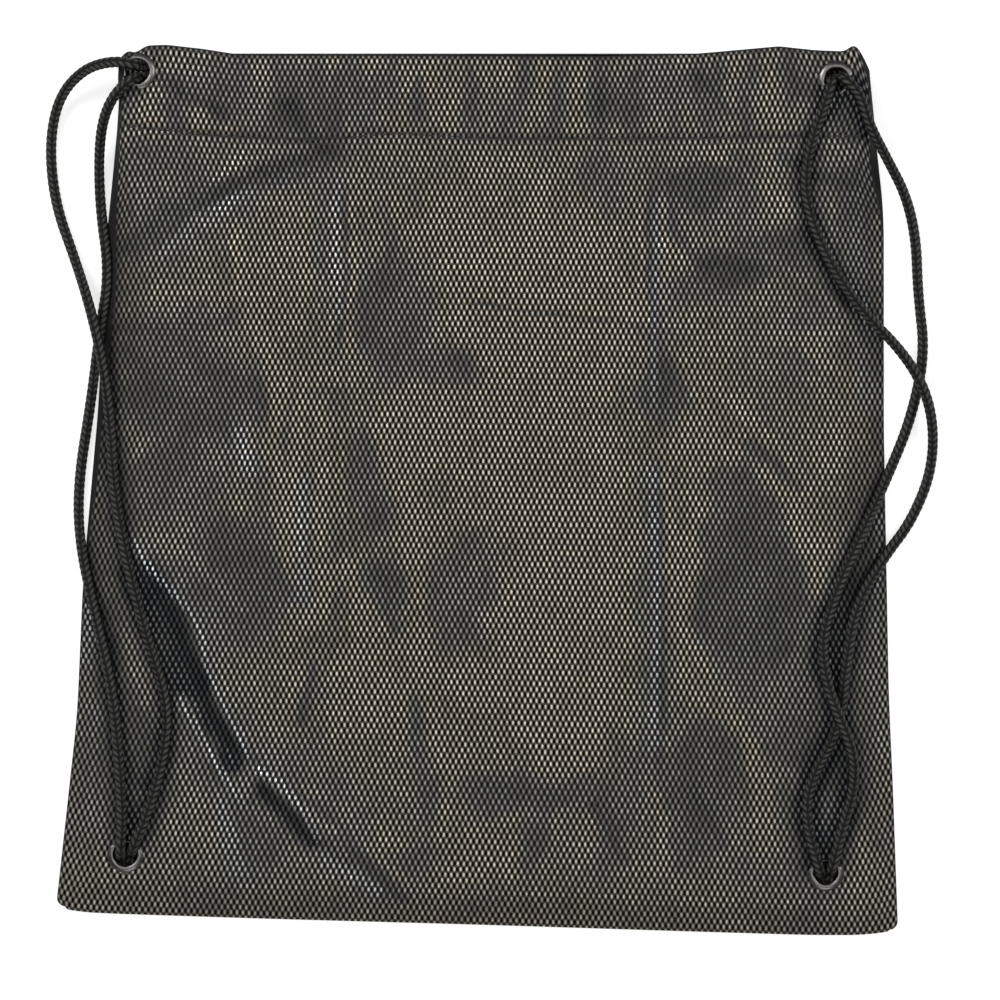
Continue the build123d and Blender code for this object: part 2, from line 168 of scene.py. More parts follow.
BOTTOM_EDGE = [
    (-0.2110, -0.1950), (-0.2011, -0.1985), (-0.1900, -0.2008), (-0.1700, -0.2017),
    (-0.1000, -0.2040), (0.0000, -0.2068), (0.1000, -0.2100), (0.1600, -0.2118),
    (0.1850, -0.2118), (0.2010, -0.2095), (0.2110, -0.2075),
]
BOTTOM_SHOULDER = [(-0.1710, -0.1710), (0.1710, -0.1823)]
LEFT_CORNER_ROUNDING = 0.005
RIGHT_CORNER_ROUNDING = 0.0045
SIDE_SOFTENING = 0.012
MOUTH_SOFTENING = 0.0016
MOUTH_LEVEL = 0.2066
MOUTH_WAVE_POWER = 10
MOUTH_LEFT = -0.168
MOUTH_RIGHT = 0.1858
BOTTOM_SOFTENING = 0.008
SHOULDER_SOFTENING = 0.0016

CLOTH_WIDTH = 0.404
CLOTH_LENGTH = 0.424
STEEP_SHARE = 0.32
CLOTH_COLUMNS = 300
CLOTH_ROWS = 322
BACK_COLUMNS = 100
BACK_ROWS = 108

EYELETS = {
    "top_left": (-0.1609, 0.1992, MOUTH_TOP),
    "top_right": (0.1704, 0.1954, MOUTH_TOP),
    "bottom_left": (-0.1672, -0.1726, FOOT_TOP),
    "bottom_right": (0.1658, -0.1813, FOOT_TOP),
}
EYELET_FLANGE_RADIUS = 0.00875
EYELET_CLEARING = 0.0064


# ---------------------------------------------------------------- camera

def camera():
    """Looks straight down on the bag, with the mouth at the top of the picture."""
    data = bpy.data.cameras.new("camera")
    data.lens = CAMERA_LENS
    data.sensor_width = CAMERA_SENSOR
    distance = VIEW_WIDTH / 2 / (CAMERA_SENSOR / 2 / CAMERA_LENS)
    made = bpy.data.objects.new("camera", data)
    made.location = (*VIEW_CENTRE, CLOTH_TOP + distance)
    bpy.context.scene.collection.objects.link(made)
    bpy.context.scene.camera = made


camera()


# ---------------------------------------------------------------- mesh helpers

def grid_faces(rows, columns, closed=False):
    """Quads between the points of a grid, counted row by row."""
    across = columns if closed else columns - 1
    row, column = np.meshgrid(np.arange(rows - 1), np.arange(across), indexing="ij")
    right = (column + 1) % columns
    quads = np.stack([
        row * columns + column, row * columns + right,
        (row + 1) * columns + right, (row + 1) * columns + column,
    ], axis=-1)
    return quads.reshape(-1, 4)


def bar_faces(rings, sides, turned=False):
    """Faces round a bar, with a flat end at its first and at its last ring."""
    order = -1 if turned else 1
    start = list(range(sides))[::order]
    end = [(rings - 1) * sides + side for side in range(sides)][::-order]
    return [list(face) for face in grid_faces(rings, sides, closed=True)] + [start, end]


def running_total(steps):
    return np.concatenate([[0], np.cumsum(steps)])


def run_along(line):
    """How far along a line each of its points lies."""
    return running_total(np.linalg.norm(np.diff(line, axis=0), axis=1))


def headings(line):
    """The direction of a line at each of its points."""
    steps = np.gradient(line, axis=0)
    return steps / np.linalg.norm(steps, axis=1)[:, None]


def mesh_object(name, points, faces, material, attributes=None):
    """A smooth-shaded mesh with its material and its values per point."""
    mesh = bpy.data.meshes.new(name)
    mesh.from_pydata(points.reshape(-1, 3).tolist(), [], [list(face) for face in faces])
    mesh.materials.append(material)
    for key, values in (attributes or {}).items():
        kind = "FLOAT_VECTOR" if values.ndim == 2 else "FLOAT"
        layer = mesh.attributes.new(key, kind, "POINT")
        field = "vector" if kind == "FLOAT_VECTOR" else "value"
        layer.data.foreach_set(field, values.astype(np.float32).ravel())
    mesh.shade_smooth()
    made = bpy.data.objects.new(name, mesh)
    bpy.context.scene.collection.objects.link(made)
    return made


def route_points(route):
    """Evenly spaced points on the smooth line that a route's NURBS spline draws."""
    curve = bpy.data.curves.new("route", "CURVE")
    curve.dimensions = "3D"
    curve.resolution_u = 24
    spline = curve.splines.new("NURBS")
    spline.points.add(len(route) - 1)
    for point, place in zip(spline.points, route):
        point.co = (*place, 1.0)
    spline.order_u = min(3, len(route))
    spline.use_endpoint_u = True
    holder = bpy.data.objects.new("route", curve)
    drawn = bpy.data.meshes.new_from_object(holder)
    places = np.array([v.co for v in drawn.vertices])
    bpy.data.objects.remove(holder)
    bpy.data.curves.remove(curve)
    bpy.data.meshes.remove(drawn)
    run = run_along(places)
    even = np.linspace(0, run[-1], max(4, int(round(run[-1] / CORD_STEP)) + 1))
    return np.stack([np.interp(even, run, places[:, axis]) for axis in range(3)], axis=1)


def line_frames(line):
    """Two directions across a line at each of its points, carried along without twist."""
    tangents = headings(line)
    side = np.cross(tangents[0], (0.3, 0.2, 0.93))
    side /= np.linalg.norm(side)
    sides = []
    for tangent in tangents:
        side = side - tangent * (side @ tangent)
        side = side / np.linalg.norm(side)
        sides.append(side)
    sides = np.array(sides)
    return sides, np.cross(tangents, sides)


# ---------------------------------------------------------------- materials

def shader(name, roughness):
    """A material with its Principled shader's sockets and a small tool to add nodes."""
    material = bpy.data.materials.new(name)
    material.use_nodes = True
    sockets = material.node_tree.nodes["Principled BSDF"].inputs
    sockets["Roughness"].default_value = roughness
    return material, sockets, Nodes(material)


class Nodes:
    """Short ways to add linked nodes to one material."""

    def __init__(self, material):
        self.tree = material.node_tree

    def put(self, socket, value):
        if isinstance(value, bpy.types.NodeSocket):
            self.tree.links.new(value, socket)
        else:
            socket.default_value = value

    def math(self, operation, *values, clamp=False):
        node = self.tree.nodes.new("ShaderNodeMath")
        node.operation = operation
        node.use_clamp = clamp
        for socket, value in zip(node.inputs, values):
            self.put(socket, value)
        return node.outputs[0]

    def attribute(self, name, output="Fac"):
        node = self.tree.nodes.new("ShaderNodeAttribute")
        node.attribute_name = name
        return node.outputs[output]

    def noise(self, vector, scale, detail=2.0, output="Fac"):
        node = self.tree.nodes.new("ShaderNodeTexNoise")
        self.put(node.inputs["Vector"], vector)
        node.inputs["Scale"].default_value = scale
        node.inputs["Detail"].default_value = detail
        return node.outputs[output]

    def vector_math(self, operation, *values):
        node = self.tree.nodes.new("ShaderNodeVectorMath")
        node.operation = operation
        for socket, value in zip(node.inputs, values):
            self.put(socket, value)
        return node.outputs[0]

    def split(self, vector):
        node = self.tree.nodes.new("ShaderNodeSeparateXYZ")
        self.put(node.inputs[0], vector)
        return node.outputs

    def ramp(self, value, low, high, start=0.0, end=1.0):
        """Maps low..high to start..end with soft ends."""
        node = self.tree.nodes.new("ShaderNodeMapRange")
        node.interpolation_type = "SMOOTHSTEP"
        for key, number in (("Value", value), ("From Min", low), ("From Max", high),
                            ("To Min", start), ("To Max", end)):
            self.put(node.inputs[key], number)
        return node.outputs[0]

    def mix(self, factor, first, second):
        node = self.tree.nodes.new("ShaderNodeMix")
        node.data_type = "RGBA"
        self.put(node.inputs["Factor"], factor)
        self.put(node.inputs[6], first)
        self.put(node.inputs[7], second)
        return node.outputs[2]

    def bump(self, height, distance, strength=1.0):
        node = self.tree.nodes.new("ShaderNodeBump")
        node.inputs["Strength"].default_value = strength
        node.inputs["Distance"].default_value = distance
        self.put(node.inputs["Height"], height)
        return node.outputs[0]

    def place(self):
        return self.tree.nodes.new("ShaderNodeTexCoord").outputs["Object"]


def grey(level, warm=0.0):
    """A dark or pale neutral colour, a little warmer or cooler than grey."""
    return (level * (1 + warm), level, level * (1 - warm), 1.0)


DOT_PITCH = 0.00292
ROW_PITCH = 0.00277
DOT_WANDER = 0.00035


# Colours of the dotted cloth. The glint colour is a painted highlight, the fold ground is painted shade,
# the shaded and lit grounds are painted shade and light, and the warm and cool pale colours follow the
# painted shading in part.
PALE_WARM = (0.560, 0.508, 0.405, 1.0)
PALE_COOL = (0.445, 0.450, 0.435, 1.0)
PALE_GLINT = (0.740, 0.790, 0.830, 1.0)
GROUND_FOLD_SHADE = (0.012, 0.013, 0.015, 1.0)
GROUND_SHADED = (0.036, 0.037, 0.037, 1.0)
GROUND_LIT = (0.069, 0.060, 0.048, 1.0)
FAINTEST_DOT = 0.13
# Where an oval starts and is full, and where a gap starts and is deep, on the weave's waves.
PALE_EDGE = (0.08, 0.88)
HOLE_EDGE = (0.0, -0.50)
OWN_LIGHT = (0.72, 1.16)
OVAL_MOTTLE = 0.14
# The painted shading at which the ground turns to its painted fold shade, and the even painted shading and
# warmth of the back.
FOLD_SHEEN = (0.04, 0.30)
BACK_SHEEN = 0.45
BACK_WARMTH = 0.3
THREAD_COUNT = 5200.0


def checks(n, flat):
    """The weave: above 0 on the pale ovals and below 0 in the gaps, with columns and rows counted."""
    across, along, _ = n.split(flat)
    column = n.math("MULTIPLY", across, 1 / DOT_PITCH)
    row = n.math("MULTIPLY", along, 1 / ROW_PITCH)
    wave_across = n.math("COSINE", n.math("MULTIPLY", column, 2 * pi))
    wave_along = n.math("COSINE", n.math("MULTIPLY", row, pi))
    return n.math("MULTIPLY", wave_across, wave_along), column, row


def own_light(n, column, row):
    """Each pale oval has its own brightness."""
    cell = n.tree.nodes.new("ShaderNodeCombineXYZ")
    n.put(cell.inputs[0], n.math("ROUND", n.math("MULTIPLY", column, 2.0)))
    n.put(cell.inputs[1], n.math("ROUND", row))
    own = n.tree.nodes.new("ShaderNodeTexWhiteNoise")
    n.put(own.inputs["Vector"], cell.outputs[0])
    return n.ramp(own.outputs["Value"], 0.0, 1.0, *OWN_LIGHT)


def dotted_cloth():
    """Woven cloth with rows of pale satin ovals and black gaps on a dark ground."""
    material, sockets, n = shader("dotted_cloth", 0.5)
    flat = n.attribute("flat_place", "Vector")
    shake = n.vector_math("SUBTRACT", n.noise(flat, 90.0, 1.0, "Color"), (0.5, 0.5, 0.5))
    flat = n.vector_math("MULTIPLY_ADD", shake, (DOT_WANDER * 2,) * 3, flat)
    check, column, row = checks(n, flat)
    pale = n.ramp(check, *PALE_EDGE)
    hole = n.ramp(check, *HOLE_EDGE)
    own = own_light(n, column, row)
    # Per point: the painted shading (painted light and shade), the painted glints and the plain edge.
    painted_shading, glint, plain = n.attribute("painted_shading"), n.attribute("glint"), n.attribute("plain")
    mottle = n.ramp(n.noise(flat, 42.0, 3.0), 0.3, 0.7, -OVAL_MOTTLE, OVAL_MOTTLE)
    light = n.math("MULTIPLY", n.math("ADD", painted_shading, mottle, clamp=True), own)
    light = n.math("MAXIMUM", n.math("MAXIMUM", light, FAINTEST_DOT), glint)
    warm = n.mix(n.attribute("warmth"), PALE_COOL, PALE_WARM)
    pale_colour = n.mix(glint, warm, PALE_GLINT)
    ground = n.mix(n.ramp(painted_shading, *FOLD_SHEEN), GROUND_FOLD_SHADE, n.mix(painted_shading, GROUND_SHADED, GROUND_LIT))
    dots = n.mix(n.math("MULTIPLY", pale, light, clamp=True), ground, pale_colour)
    # In painted shade the gaps are painted a little less black than in painted light.
    depth = n.ramp(painted_shading, 0.25, 0.85, 0.86, 0.99)
    cloth = n.mix(n.math("MULTIPLY", hole, depth), dots, grey(0.0006))
    n.put(sockets["Base Color"], n.mix(plain, cloth, grey(0.020, -0.02)))
    woven = n.math("SUBTRACT", 1.0, plain)
    gloss = n.math("MULTIPLY", pale, woven)
    n.put(sockets["Roughness"], n.ramp(gloss, 0.0, 1.0, 0.80, 0.34))
    n.put(sockets["Metallic"], n.math("MULTIPLY", gloss, 0.55))
    n.put(sockets["Specular IOR Level"], n.ramp(gloss, 0.0, 1.0, 0.03, 0.5))
    n.put(sockets["Normal"], n.bump(n.math("MULTIPLY", check, woven), 0.00012, 0.7))
    return material


def plain_cloth():
    """The dark wrong side of the cloth, with a fine even weave."""
    material, sockets, n = shader("plain_cloth", 0.85)
    across, along, up = n.split(n.place())
    weave = n.math("MULTIPLY", n.math("SINE", n.math("MULTIPLY", across, THREAD_COUNT)),
                   n.math("SINE", n.math("MULTIPLY", n.math("ADD", along, up), THREAD_COUNT)))
    tone = n.ramp(n.noise(n.place(), 60.0), 0.3, 0.7)
    n.put(sockets["Base Color"], n.mix(tone, grey(0.022), grey(0.040)))
    n.put(sockets["Normal"], n.bump(weave, 0.0001, 0.6))
    return material


# Painted shade in the braid's gaps and painted light on the strands' crowns.
CORD_GAP_SHADE = (0.0040, 0.0040, 0.0040, 1.0)
CORD_CROWN_LIGHT = (0.0640, 0.0630, 0.0580, 1.0)


def drawcord():
    """Matt black braid with painted light and shade: the strands' crowns are painted a little lighter and
    the gaps between darker.
    """
    material, sockets, n = shader("drawcord", 0.62)
    fleck = n.ramp(n.noise(n.place(), 900.0, 2.0), 0.3, 0.7, 0.75, 1.2)
    lit = n.math("MULTIPLY", n.math("POWER", n.attribute("crown"), 4.5), fleck, clamp=True)
    n.put(sockets["Base Color"], n.mix(lit, CORD_GAP_SHADE, CORD_CROWN_LIGHT))
    sockets["Specular IOR Level"].default_value = 0.12
    n.put(sockets["Normal"], n.bump(n.noise(n.place(), 2600.0, 1.0), 0.00008, 0.5))
    return material


def thread():
    """Dark spun sewing thread."""
    material, sockets, n = shader("thread", 0.6)
    tone = n.ramp(n.noise(n.place(), 700.0), 0.3, 0.7)
    n.put(sockets["Base Color"], n.mix(tone, grey(0.008), grey(0.022)))
    return material


def metal(name, level, roughness):
    """Satin metal, with painted shade inside the barrel: dark, dull and not metallic there."""
    material, sockets, n = shader(name, roughness)
    tone = n.ramp(n.noise(n.place(), 260.0, 3.0), 0.3, 0.7)
    shade = n.attribute("inside")
    finish = n.mix(tone, grey(level * 0.8, 0.03), grey(level, 0.03))
    n.put(sockets["Base Color"], n.mix(shade, finish, grey(0.004)))
    n.put(sockets["Metallic"], n.math("SUBTRACT", 1.0, shade))
    polish = n.ramp(tone, 0.0, 1.0, roughness * 0.85, roughness * 1.15)
    n.put(sockets["Roughness"], n.math("ADD", polish, shade, clamp=True))
    return material


DOTTED = dotted_cloth()
PLAIN = plain_cloth()
CORD = drawcord()
THREAD = thread()
EYELET_METAL = metal("eyelet_metal", 0.15, 0.30)
WASHER_METAL = metal("washer_metal", 0.10, 0.38)


# ---------------------------------------------------------------- cords

def braid_relief(turn, run):
    """Height of the strands on a braided cord, from 0 in the gaps to 1 on the crowns.

    Strands lie aslant in columns along the cord, and lean the other way in each next column.
    """
    column = BRAID_COLUMNS * turn / (2 * pi)
    number = np.floor(column)
    share = column - number
    lean = np.where(number % 2 == 0, share, 1 - share)
    phase = run / BRAID_PITCH + lean
    bump = np.abs(2 * (phase - np.floor(phase)) - 1)
    dive = np.abs(2 * share - 1)
    return np.sqrt(np.clip(1 - bump ** 2.2, 0, 1)) * (1 - 0.75 * dive ** 4)


def braided_tube(name, line):
    """A mesh tube with a braid's relief round a line of points."""
    sides, ups = line_frames(line)
    turn = np.linspace(0, 2 * pi, CORD_SIDES, endpoint=False)
    turns, runs = np.meshgrid(turn, run_along(line))
    # two columns of the braid face up, with a slow drift to either side
    facing_up = np.arctan2(ups[:, 2], sides[:, 2])[:, None]
    drift = 0.35 * np.sin(runs / 0.028 + len(line))
    crown = braid_relief((turns - facing_up + drift) % (2 * pi), runs)
    radius = CORD_DIAMETER / 2 + BRAID_DEPTH * (crown - BRAID_LEVEL)
    points = (line[:, None, :] + sides[:, None, :] * (radius * np.cos(turns))[:, :, None]
              + ups[:, None, :] * (radius * np.sin(turns))[:, :, None])
    faces = [list(face) for face in grid_faces(len(line), CORD_SIDES, closed=True)]
    points = np.vstack([points.reshape(-1, 3), line[:1], line[-1:]])
    start, end = len(points) - 2, len(points) - 1
    last = (len(line) - 1) * CORD_SIDES
    for side in range(CORD_SIDES):
        following = (side + 1) % CORD_SIDES
        faces.append([start, following, side])
        faces.append([end, last + side, last + following])
    crown = np.append(crown.ravel(), (0.5, 0.5))
    tube = mesh_object(name, points, faces, CORD, {"crown": np.clip(crown, 0, 1)})
    return tube


STRANDS = {
    "left_cord_outer_strand": (LEFT_OUTER_ROUTE, "top_left", 0.449),
    "left_cord_inner_strand": (LEFT_INNER_ROUTE, "top_left", 0.404),
    "right_cord_outer_strand": (RIGHT_OUTER_ROUTE, "top_right", 0.425),
    "right_cord_inner_strand": (RIGHT_INNER_ROUTE, "top_right", 0.442),
}
strand_lines = {name: route_points(route) for name, (route, _, _) in STRANDS.items()}


def bend_with_front(tube, line):
    """Moves the tube's points to the middles of their rings, bakes its placement into the mesh and puts
    them back: the tube keeps its shape.
    """
    vertices = tube.data.vertices
    shape = np.zeros(len(vertices) * 3, np.float32)
    vertices.foreach_get("co", shape)
    middles = np.vstack([np.repeat(line, CORD_SIDES, axis=0), line[:1], line[-1:]])
    vertices.foreach_set("co", middles.astype(np.float32).ravel())
    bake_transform(tube)
    vertices.foreach_set("co", shape)
    tube.data.update()


def strands():
    """The free strands: braided tubes along their routes, each in place of its CAD part."""
    for name, (_, corner, length) in STRANDS.items():
        line = strand_lines[name]
        tube = braided_tube("braided_" + name, line)
        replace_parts(tube, name)
        bend_with_front(tube, line)


def channel_cords():
    """The stretches of the drawcords inside the channel round the mouth."""
    for name, (body, route) in CHANNEL_CORDS.items():
        line = route_points(route)
        tube = braided_tube("braided_" + name, line)
        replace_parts(tube, name)
        if body == "both":
            bend_with_front(tube, line)
        else:
            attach(tube, body)


strands()
channel_cords()


# ---------------------------------------------------------------- cloth shape

def smooth_step(value, low, high):
    t = np.clip((value - low) / (high - low), 0, 1)
    return t * t * (3 - 2 * t)


def soft_line(places, value, softening):
    """Reads x from y, or y from x, off a line of points whose bends are softened."""
    known = np.array(places)
    keys, values = known[:, 0], known[:, 1]
    offsets = np.linspace(-softening, softening, 7)
    return np.mean([np.interp(value + offset, keys, values) for offset in offsets], axis=0)


def side_x(places, y):
    """x of a side line at y."""
    return soft_line([(b, a) for a, b in places], y, SIDE_SOFTENING)


def mouth_y(x):
    return soft_line(MOUTH_EDGE, x, MOUTH_SOFTENING)


def bottom_y(x):
    return soft_line(BOTTOM_EDGE, x, BOTTOM_SOFTENING)


def straight(ends, x):
    (x0, y0), (x1, y1) = ends
    return y0 + (x - x0) * (y1 - y0) / (x1 - x0)


def distance_to(points, x, y):
    """Distance from each place to a line of points, and how far along the line, from 0 to 1."""
    lengths = [np.hypot(b[0] - a[0], b[1] - a[1]) for a, b in zip(points, points[1:])]
    best = np.full(x.shape, np.inf)
    share = np.zeros(x.shape)
    done = 0.0
    for (ax, ay), (bx, by), length in zip(points, points[1:], lengths):
        t = np.clip(((x - ax) * (bx - ax) + (y - ay) * (by - ay)) / length ** 2, 0, 1)
        away = np.hypot(x - ax - t * (bx - ax), y - ay - t * (by - ay))
        nearer = away < best
        best = np.where(nearer, away, best)
        share = np.where(nearer, (done + t * length) / sum(lengths), share)
        done += length
    return best, share


def stroke(x, y, points, width, ends=0.12, power=2):
    """1 along a line of points, fading to 0 at the width and at the line's ends."""
    away, share = distance_to(points, x, y)
    fade = smooth_step(share, 0, ends) * (1 - smooth_step(share, 1 - ends, 1))
    return np.exp(-(away / width) ** power) * fade


def patch(x, y, place, size, angle=0.0):
    """1 in the middle of a soft oval, fading to 0 outside it."""
    a = radians(angle)
    across = (x - place[0]) * cos(a) + (y - place[1]) * sin(a)
    along = -(x - place[0]) * sin(a) + (y - place[1]) * cos(a)
    return np.exp(-((across / size[0]) ** 2 + (along / size[1]) ** 2) ** 2.2)


# Unevenness of the cloth: width and length of its features, seed of the noise, height.
BROAD_SWELL = (0.055, 0.120, 3.1, 0.0016)
SMALL_SWELL = (0.022, 0.034, 7.7, 0.0007)
CRUMPLE = (0.007, 0.010, 12.3, 0.00022)
HEM_WAVES = (0.018, 0.050, 21.0, 0.0006)
BACK_SWELL = (0.030, 0.050, 50.0, 1.0)
# The same for the sway of the tone's patches, and for the tone itself.
SWAY_ACROSS = (0.014, 0.016, 61.0, 0.0035)
SWAY_ALONG = (0.014, 0.016, 67.0, 0.0035)
FINE_MOTTLE = (0.012, 0.020, 31.0, 0.10)
BROAD_MOTTLE = (0.030, 0.060, 37.0, 0.05)
HEM_MOTTLE = (0.009, 0.040, 41.0, 0.24)
WARM_MOTTLE = (0.020, 0.026, 5.0, 0.25)
HALO_MOTTLE = (0.006, 0.010, 71.0, 1.0)


def ripple(x, y, waves):
    """Smooth noise between about -1 and 1 times the waves' height."""
    width, length, seed, height = waves
    flat = np.stack([x.ravel() / width, y.ravel() / length], axis=1)
    values = [noise.noise(Vector((a, b, seed))) for a, b in flat]
    return height * (np.array(values).reshape(x.shape) * 1.6)


def body_height(x, y):
    """Height of the lying bag's front before creases: sloping sides and a falling top."""
    rise = MOUTH_TOP - RIM_HEIGHT
    left, right = side_x(LEFT_SIDE, y), side_x(RIGHT_SIDE, y)
    from_left = (x - left) / (side_x(LEFT_SHOULDER, y) - left)
    from_right = (right - x) / (right - side_x(RIGHT_SHOULDER, y))
    bottom = bottom_y(x)
    from_bottom = (y - bottom) / (straight(BOTTOM_SHOULDER, x) - bottom)
    fall = (y - SLOPE_END) / (CHANNEL_START - SLOPE_END)
    top = FOOT_TOP + (MOUTH_TOP - FOOT_TOP) * np.clip(fall, 0, 1)
    flanks = [RIM_HEIGHT + rise * share for share in (from_left, from_right, from_bottom)]
    stack = np.stack([*flanks, top])
    k = SHOULDER_SOFTENING
    low = stack.min(axis=0)
    return low - k * np.log(np.exp(-(stack - low) / k).sum(axis=0)) + 0.2 * k


# Creases and folds of the front, in millimetres: a line of points from the mouth down, width, height.
CREASES = [
    ([(-65, 158), (-66, 60), (-62, -20), (-68, -99)], 3.5, -1.4),
    ([(-73, 150), (-74, 20), (-72, -90)], 7, 0.8),
    ([(85, 163), (83, 50), (86, -40), (84, -128)], 3.5, -1.6),
    ([(93, 150), (92, 20), (94, -120)], 7, 0.9),
    ([(-158, -33), (-136, -57), (-129, -82), (-107, -130)], 4, 2),
    ([(-107, -130), (-81, -153), (-60, -176)], 5, 2.2),
    ([(-142, -97), (-123, -130), (-108, -152)], 4, 1.8),
    ([(-158, -43), (-144, -72), (-131, -105), (-116, -131)], 6, -3.4),
    ([(-107, -140), (-85, -163), (-55, -186)], 5, -2.4),
    ([(-27, 181.6), (-108, 155.4), (-170, 105.4)], 4.5, 2),
    ([(-68, 159), (-115, 144), (-172, 106)], 5.5, -2), ([(-150, 150), (-120, 115), (-112, 80)], 6, 1.2),
    ([(-113, 136), (-108, 80), (-93, 30), (-90, -40)], 5, 1.4),
    ([(-45, 40), (-30, -14), (-24, -70)], 6, 1.4), ([(89, 72), (137, 22), (164, -9)], 5, 1.6),
    ([(123, 28), (142, 14), (157, -4)], 4.5, -1.4),
    ([(106, 5), (97, -66), (131, -121), (133, -180)], 6, 1.6),
    ([(95, 155), (107, 109), (135, 101), (170, 80)], 6, -1.4), ([(54, -147), (75, -179)], 5, -1.2),
    ([(-153, 199), (-115, 176)], 3, -1), ([(101, 203), (123, 174)], 3, -1),
    ([(-93, 187), (-66, 154)], 4, -1.2), ([(78, 205), (79, 174)], 3, -0.8),
]
STITCH_LINE = [
    (-0.1720, 0.1735), (-0.1660, 0.1730), (-0.1328, 0.1697), (-0.0980, 0.1673), (-0.0752, 0.1664),
    (-0.0447, 0.1697), (0.0110, 0.1674), (0.0940, 0.1675), (0.1550, 0.1684), (0.1900, 0.1688),
]
STITCH_LINE_SOFTENING = 0.010
STITCH_GROOVE = (0.0009, 0.0013)
HEM_REACH = (0.162, 0.178)
HEM_CALM = 0.85
HEM_STEP = 0.0005
CALM_RISE = 0.006


def stitch_y(x):
    return soft_line(STITCH_LINE, x, STITCH_LINE_SOFTENING)


def creased_height(x, y):
    """The front's height with its creases, calmer at the rim and round the eyelets."""
    height = body_height(x, y)
    calm = smooth_step(height, RIM_HEIGHT, RIM_HEIGHT + CALM_RISE)
    hem = smooth_step(y, *HEM_REACH)
    folds = MM * sum(stroke(x / MM, y / MM, points, width) * rise for points, width, rise in CREASES)
    swell = ripple(x, y, BROAD_SWELL) + ripple(x, y, SMALL_SWELL)
    relief = (folds + swell) * (1 - HEM_CALM * hem)
    relief = relief + ripple(x, y, CRUMPLE) + ripple(x, y, HEM_WAVES) * hem
    above_seam = y - stitch_y(x)
    depth, width = STITCH_GROOVE
    seam = HEM_STEP * smooth_step(above_seam, -0.0006, 0.0012)
    seam = seam - depth * np.exp(-(above_seam / width) ** 2)
    height = height + (relief + seam) * calm
    for place_x, place_y, top in EYELETS.values():
        away = np.hypot(x - place_x, y - place_y)
        near = 1 - smooth_step(away, EYELET_FLANGE_RADIUS, EYELET_FLANGE_RADIUS + CALM_RISE)
        height = height + near * (top - 0.0001 - height)
    return height


def nearest_cord(line, x, y, reach=0.009):
    """Distance in plan from each place to a cord that lies outside the bag, and the cord's height."""
    away = np.full(x.shape, 1.0)
    middle = np.zeros(x.shape)
    coarse = line[::4]
    keep = np.ones(len(coarse), bool)
    for place_x, place_y, top in EYELETS.values():
        gap = np.hypot(coarse[:, 0] - place_x, coarse[:, 1] - place_y)
        keep &= (gap > 0.016) | ((gap > 0.006) & (coarse[:, 2] > top + 0.0015))
    coarse = coarse[keep]
    for start in range(0, len(coarse), 24):
        piece = coarse[start:start + 25]
        low, high = piece.min(axis=0) - reach, piece.max(axis=0) + reach
        near = np.nonzero((x > low[0]) & (x < high[0]) & (y > low[1]) & (y < high[1]))
        if not len(near[0]):
            continue
        gap = np.hypot(x[near][:, None] - piece[None, :, 0], y[near][:, None] - piece[None, :, 1])
        closest = gap.argmin(axis=1)
        found = gap[np.arange(len(closest)), closest]
        nearer = found < away[near]
        away[near] = np.where(nearer, found, away[near])
        middle[near] = np.where(nearer, piece[closest, 2], middle[near])
    return away, middle


def under_cords(x, y, height):
    """Lets the cloth lie against the cords: pressed down under them, and up to touch them."""
    radius = CORD_DIAMETER / 2 + 0.0001
    for line in strand_lines.values():
        away, middle = nearest_cord(line, x, y)
        dip = np.sqrt(np.clip(radius ** 2 - away ** 2, 0, None))
        beside = np.clip(away - radius, 0, None)
        ceiling = np.where(away < 1, middle - dip + beside * 2.5, height)
        lift = np.clip(middle - radius - height, 0, 0.0025) * np.exp(-(away / 0.005) ** 2)
        height = np.where(away < 1, np.minimum(height + 0.8 * lift, ceiling), height)
    return height


def round_corner(x, y, corner, direction, rounding):
    """Pulls the grid's square corner in to a quarter circle."""
    centre = (corner[0] + direction * rounding, corner[1] + rounding)
    a = (centre[0] - x) * direction / rounding
    b = (centre[1] - y) / rounding
    inside = (a > 0) & (b > 0)
    a_in, b_in = np.clip(a, 0, 1), np.clip(b, 0, 1)
    round_a = a_in * np.sqrt(1 - b_in ** 2 / 2)
    round_b = b_in * np.sqrt(1 - a_in ** 2 / 2)
    x = np.where(inside, centre[0] - direction * round_a * rounding, x)
    y = np.where(inside, centre[1] - round_b * rounding, y)
    return x, y


def row_y(x, share):
    """y of the cloth's row at a share of the way from bottom to mouth: level, but wavy near the mouth."""
    bottom = bottom_y(x)
    return bottom + share * (MOUTH_LEVEL - bottom) + share ** MOUTH_WAVE_POWER * (mouth_y(x) - MOUTH_LEVEL)


def row_ends(share):
    """x of both ends of a row."""
    return side_x(LEFT_SIDE, row_y(MOUTH_LEFT, share)), side_x(RIGHT_SIDE, row_y(MOUTH_RIGHT, share))


def rounded_plan(x, y):
    x, y = round_corner(x, y, (x[0, 0], y[0, 0]), 1, LEFT_CORNER_ROUNDING)
    return round_corner(x, y, (x[0, -1], y[0, -1]), -1, RIGHT_CORNER_ROUNDING)


def flat_grid(rows, columns):
    """Places on the plan, evenly spaced from side to side and from bottom to mouth."""
    ends = [row_ends(share) for share in np.linspace(0, 1, rows)]
    x = np.array([np.linspace(left, right, columns) for left, right in ends])
    y = np.array([row_y(row, share) for row, share in zip(x, np.linspace(0, 1, rows))])
    return rounded_plan(x, y)


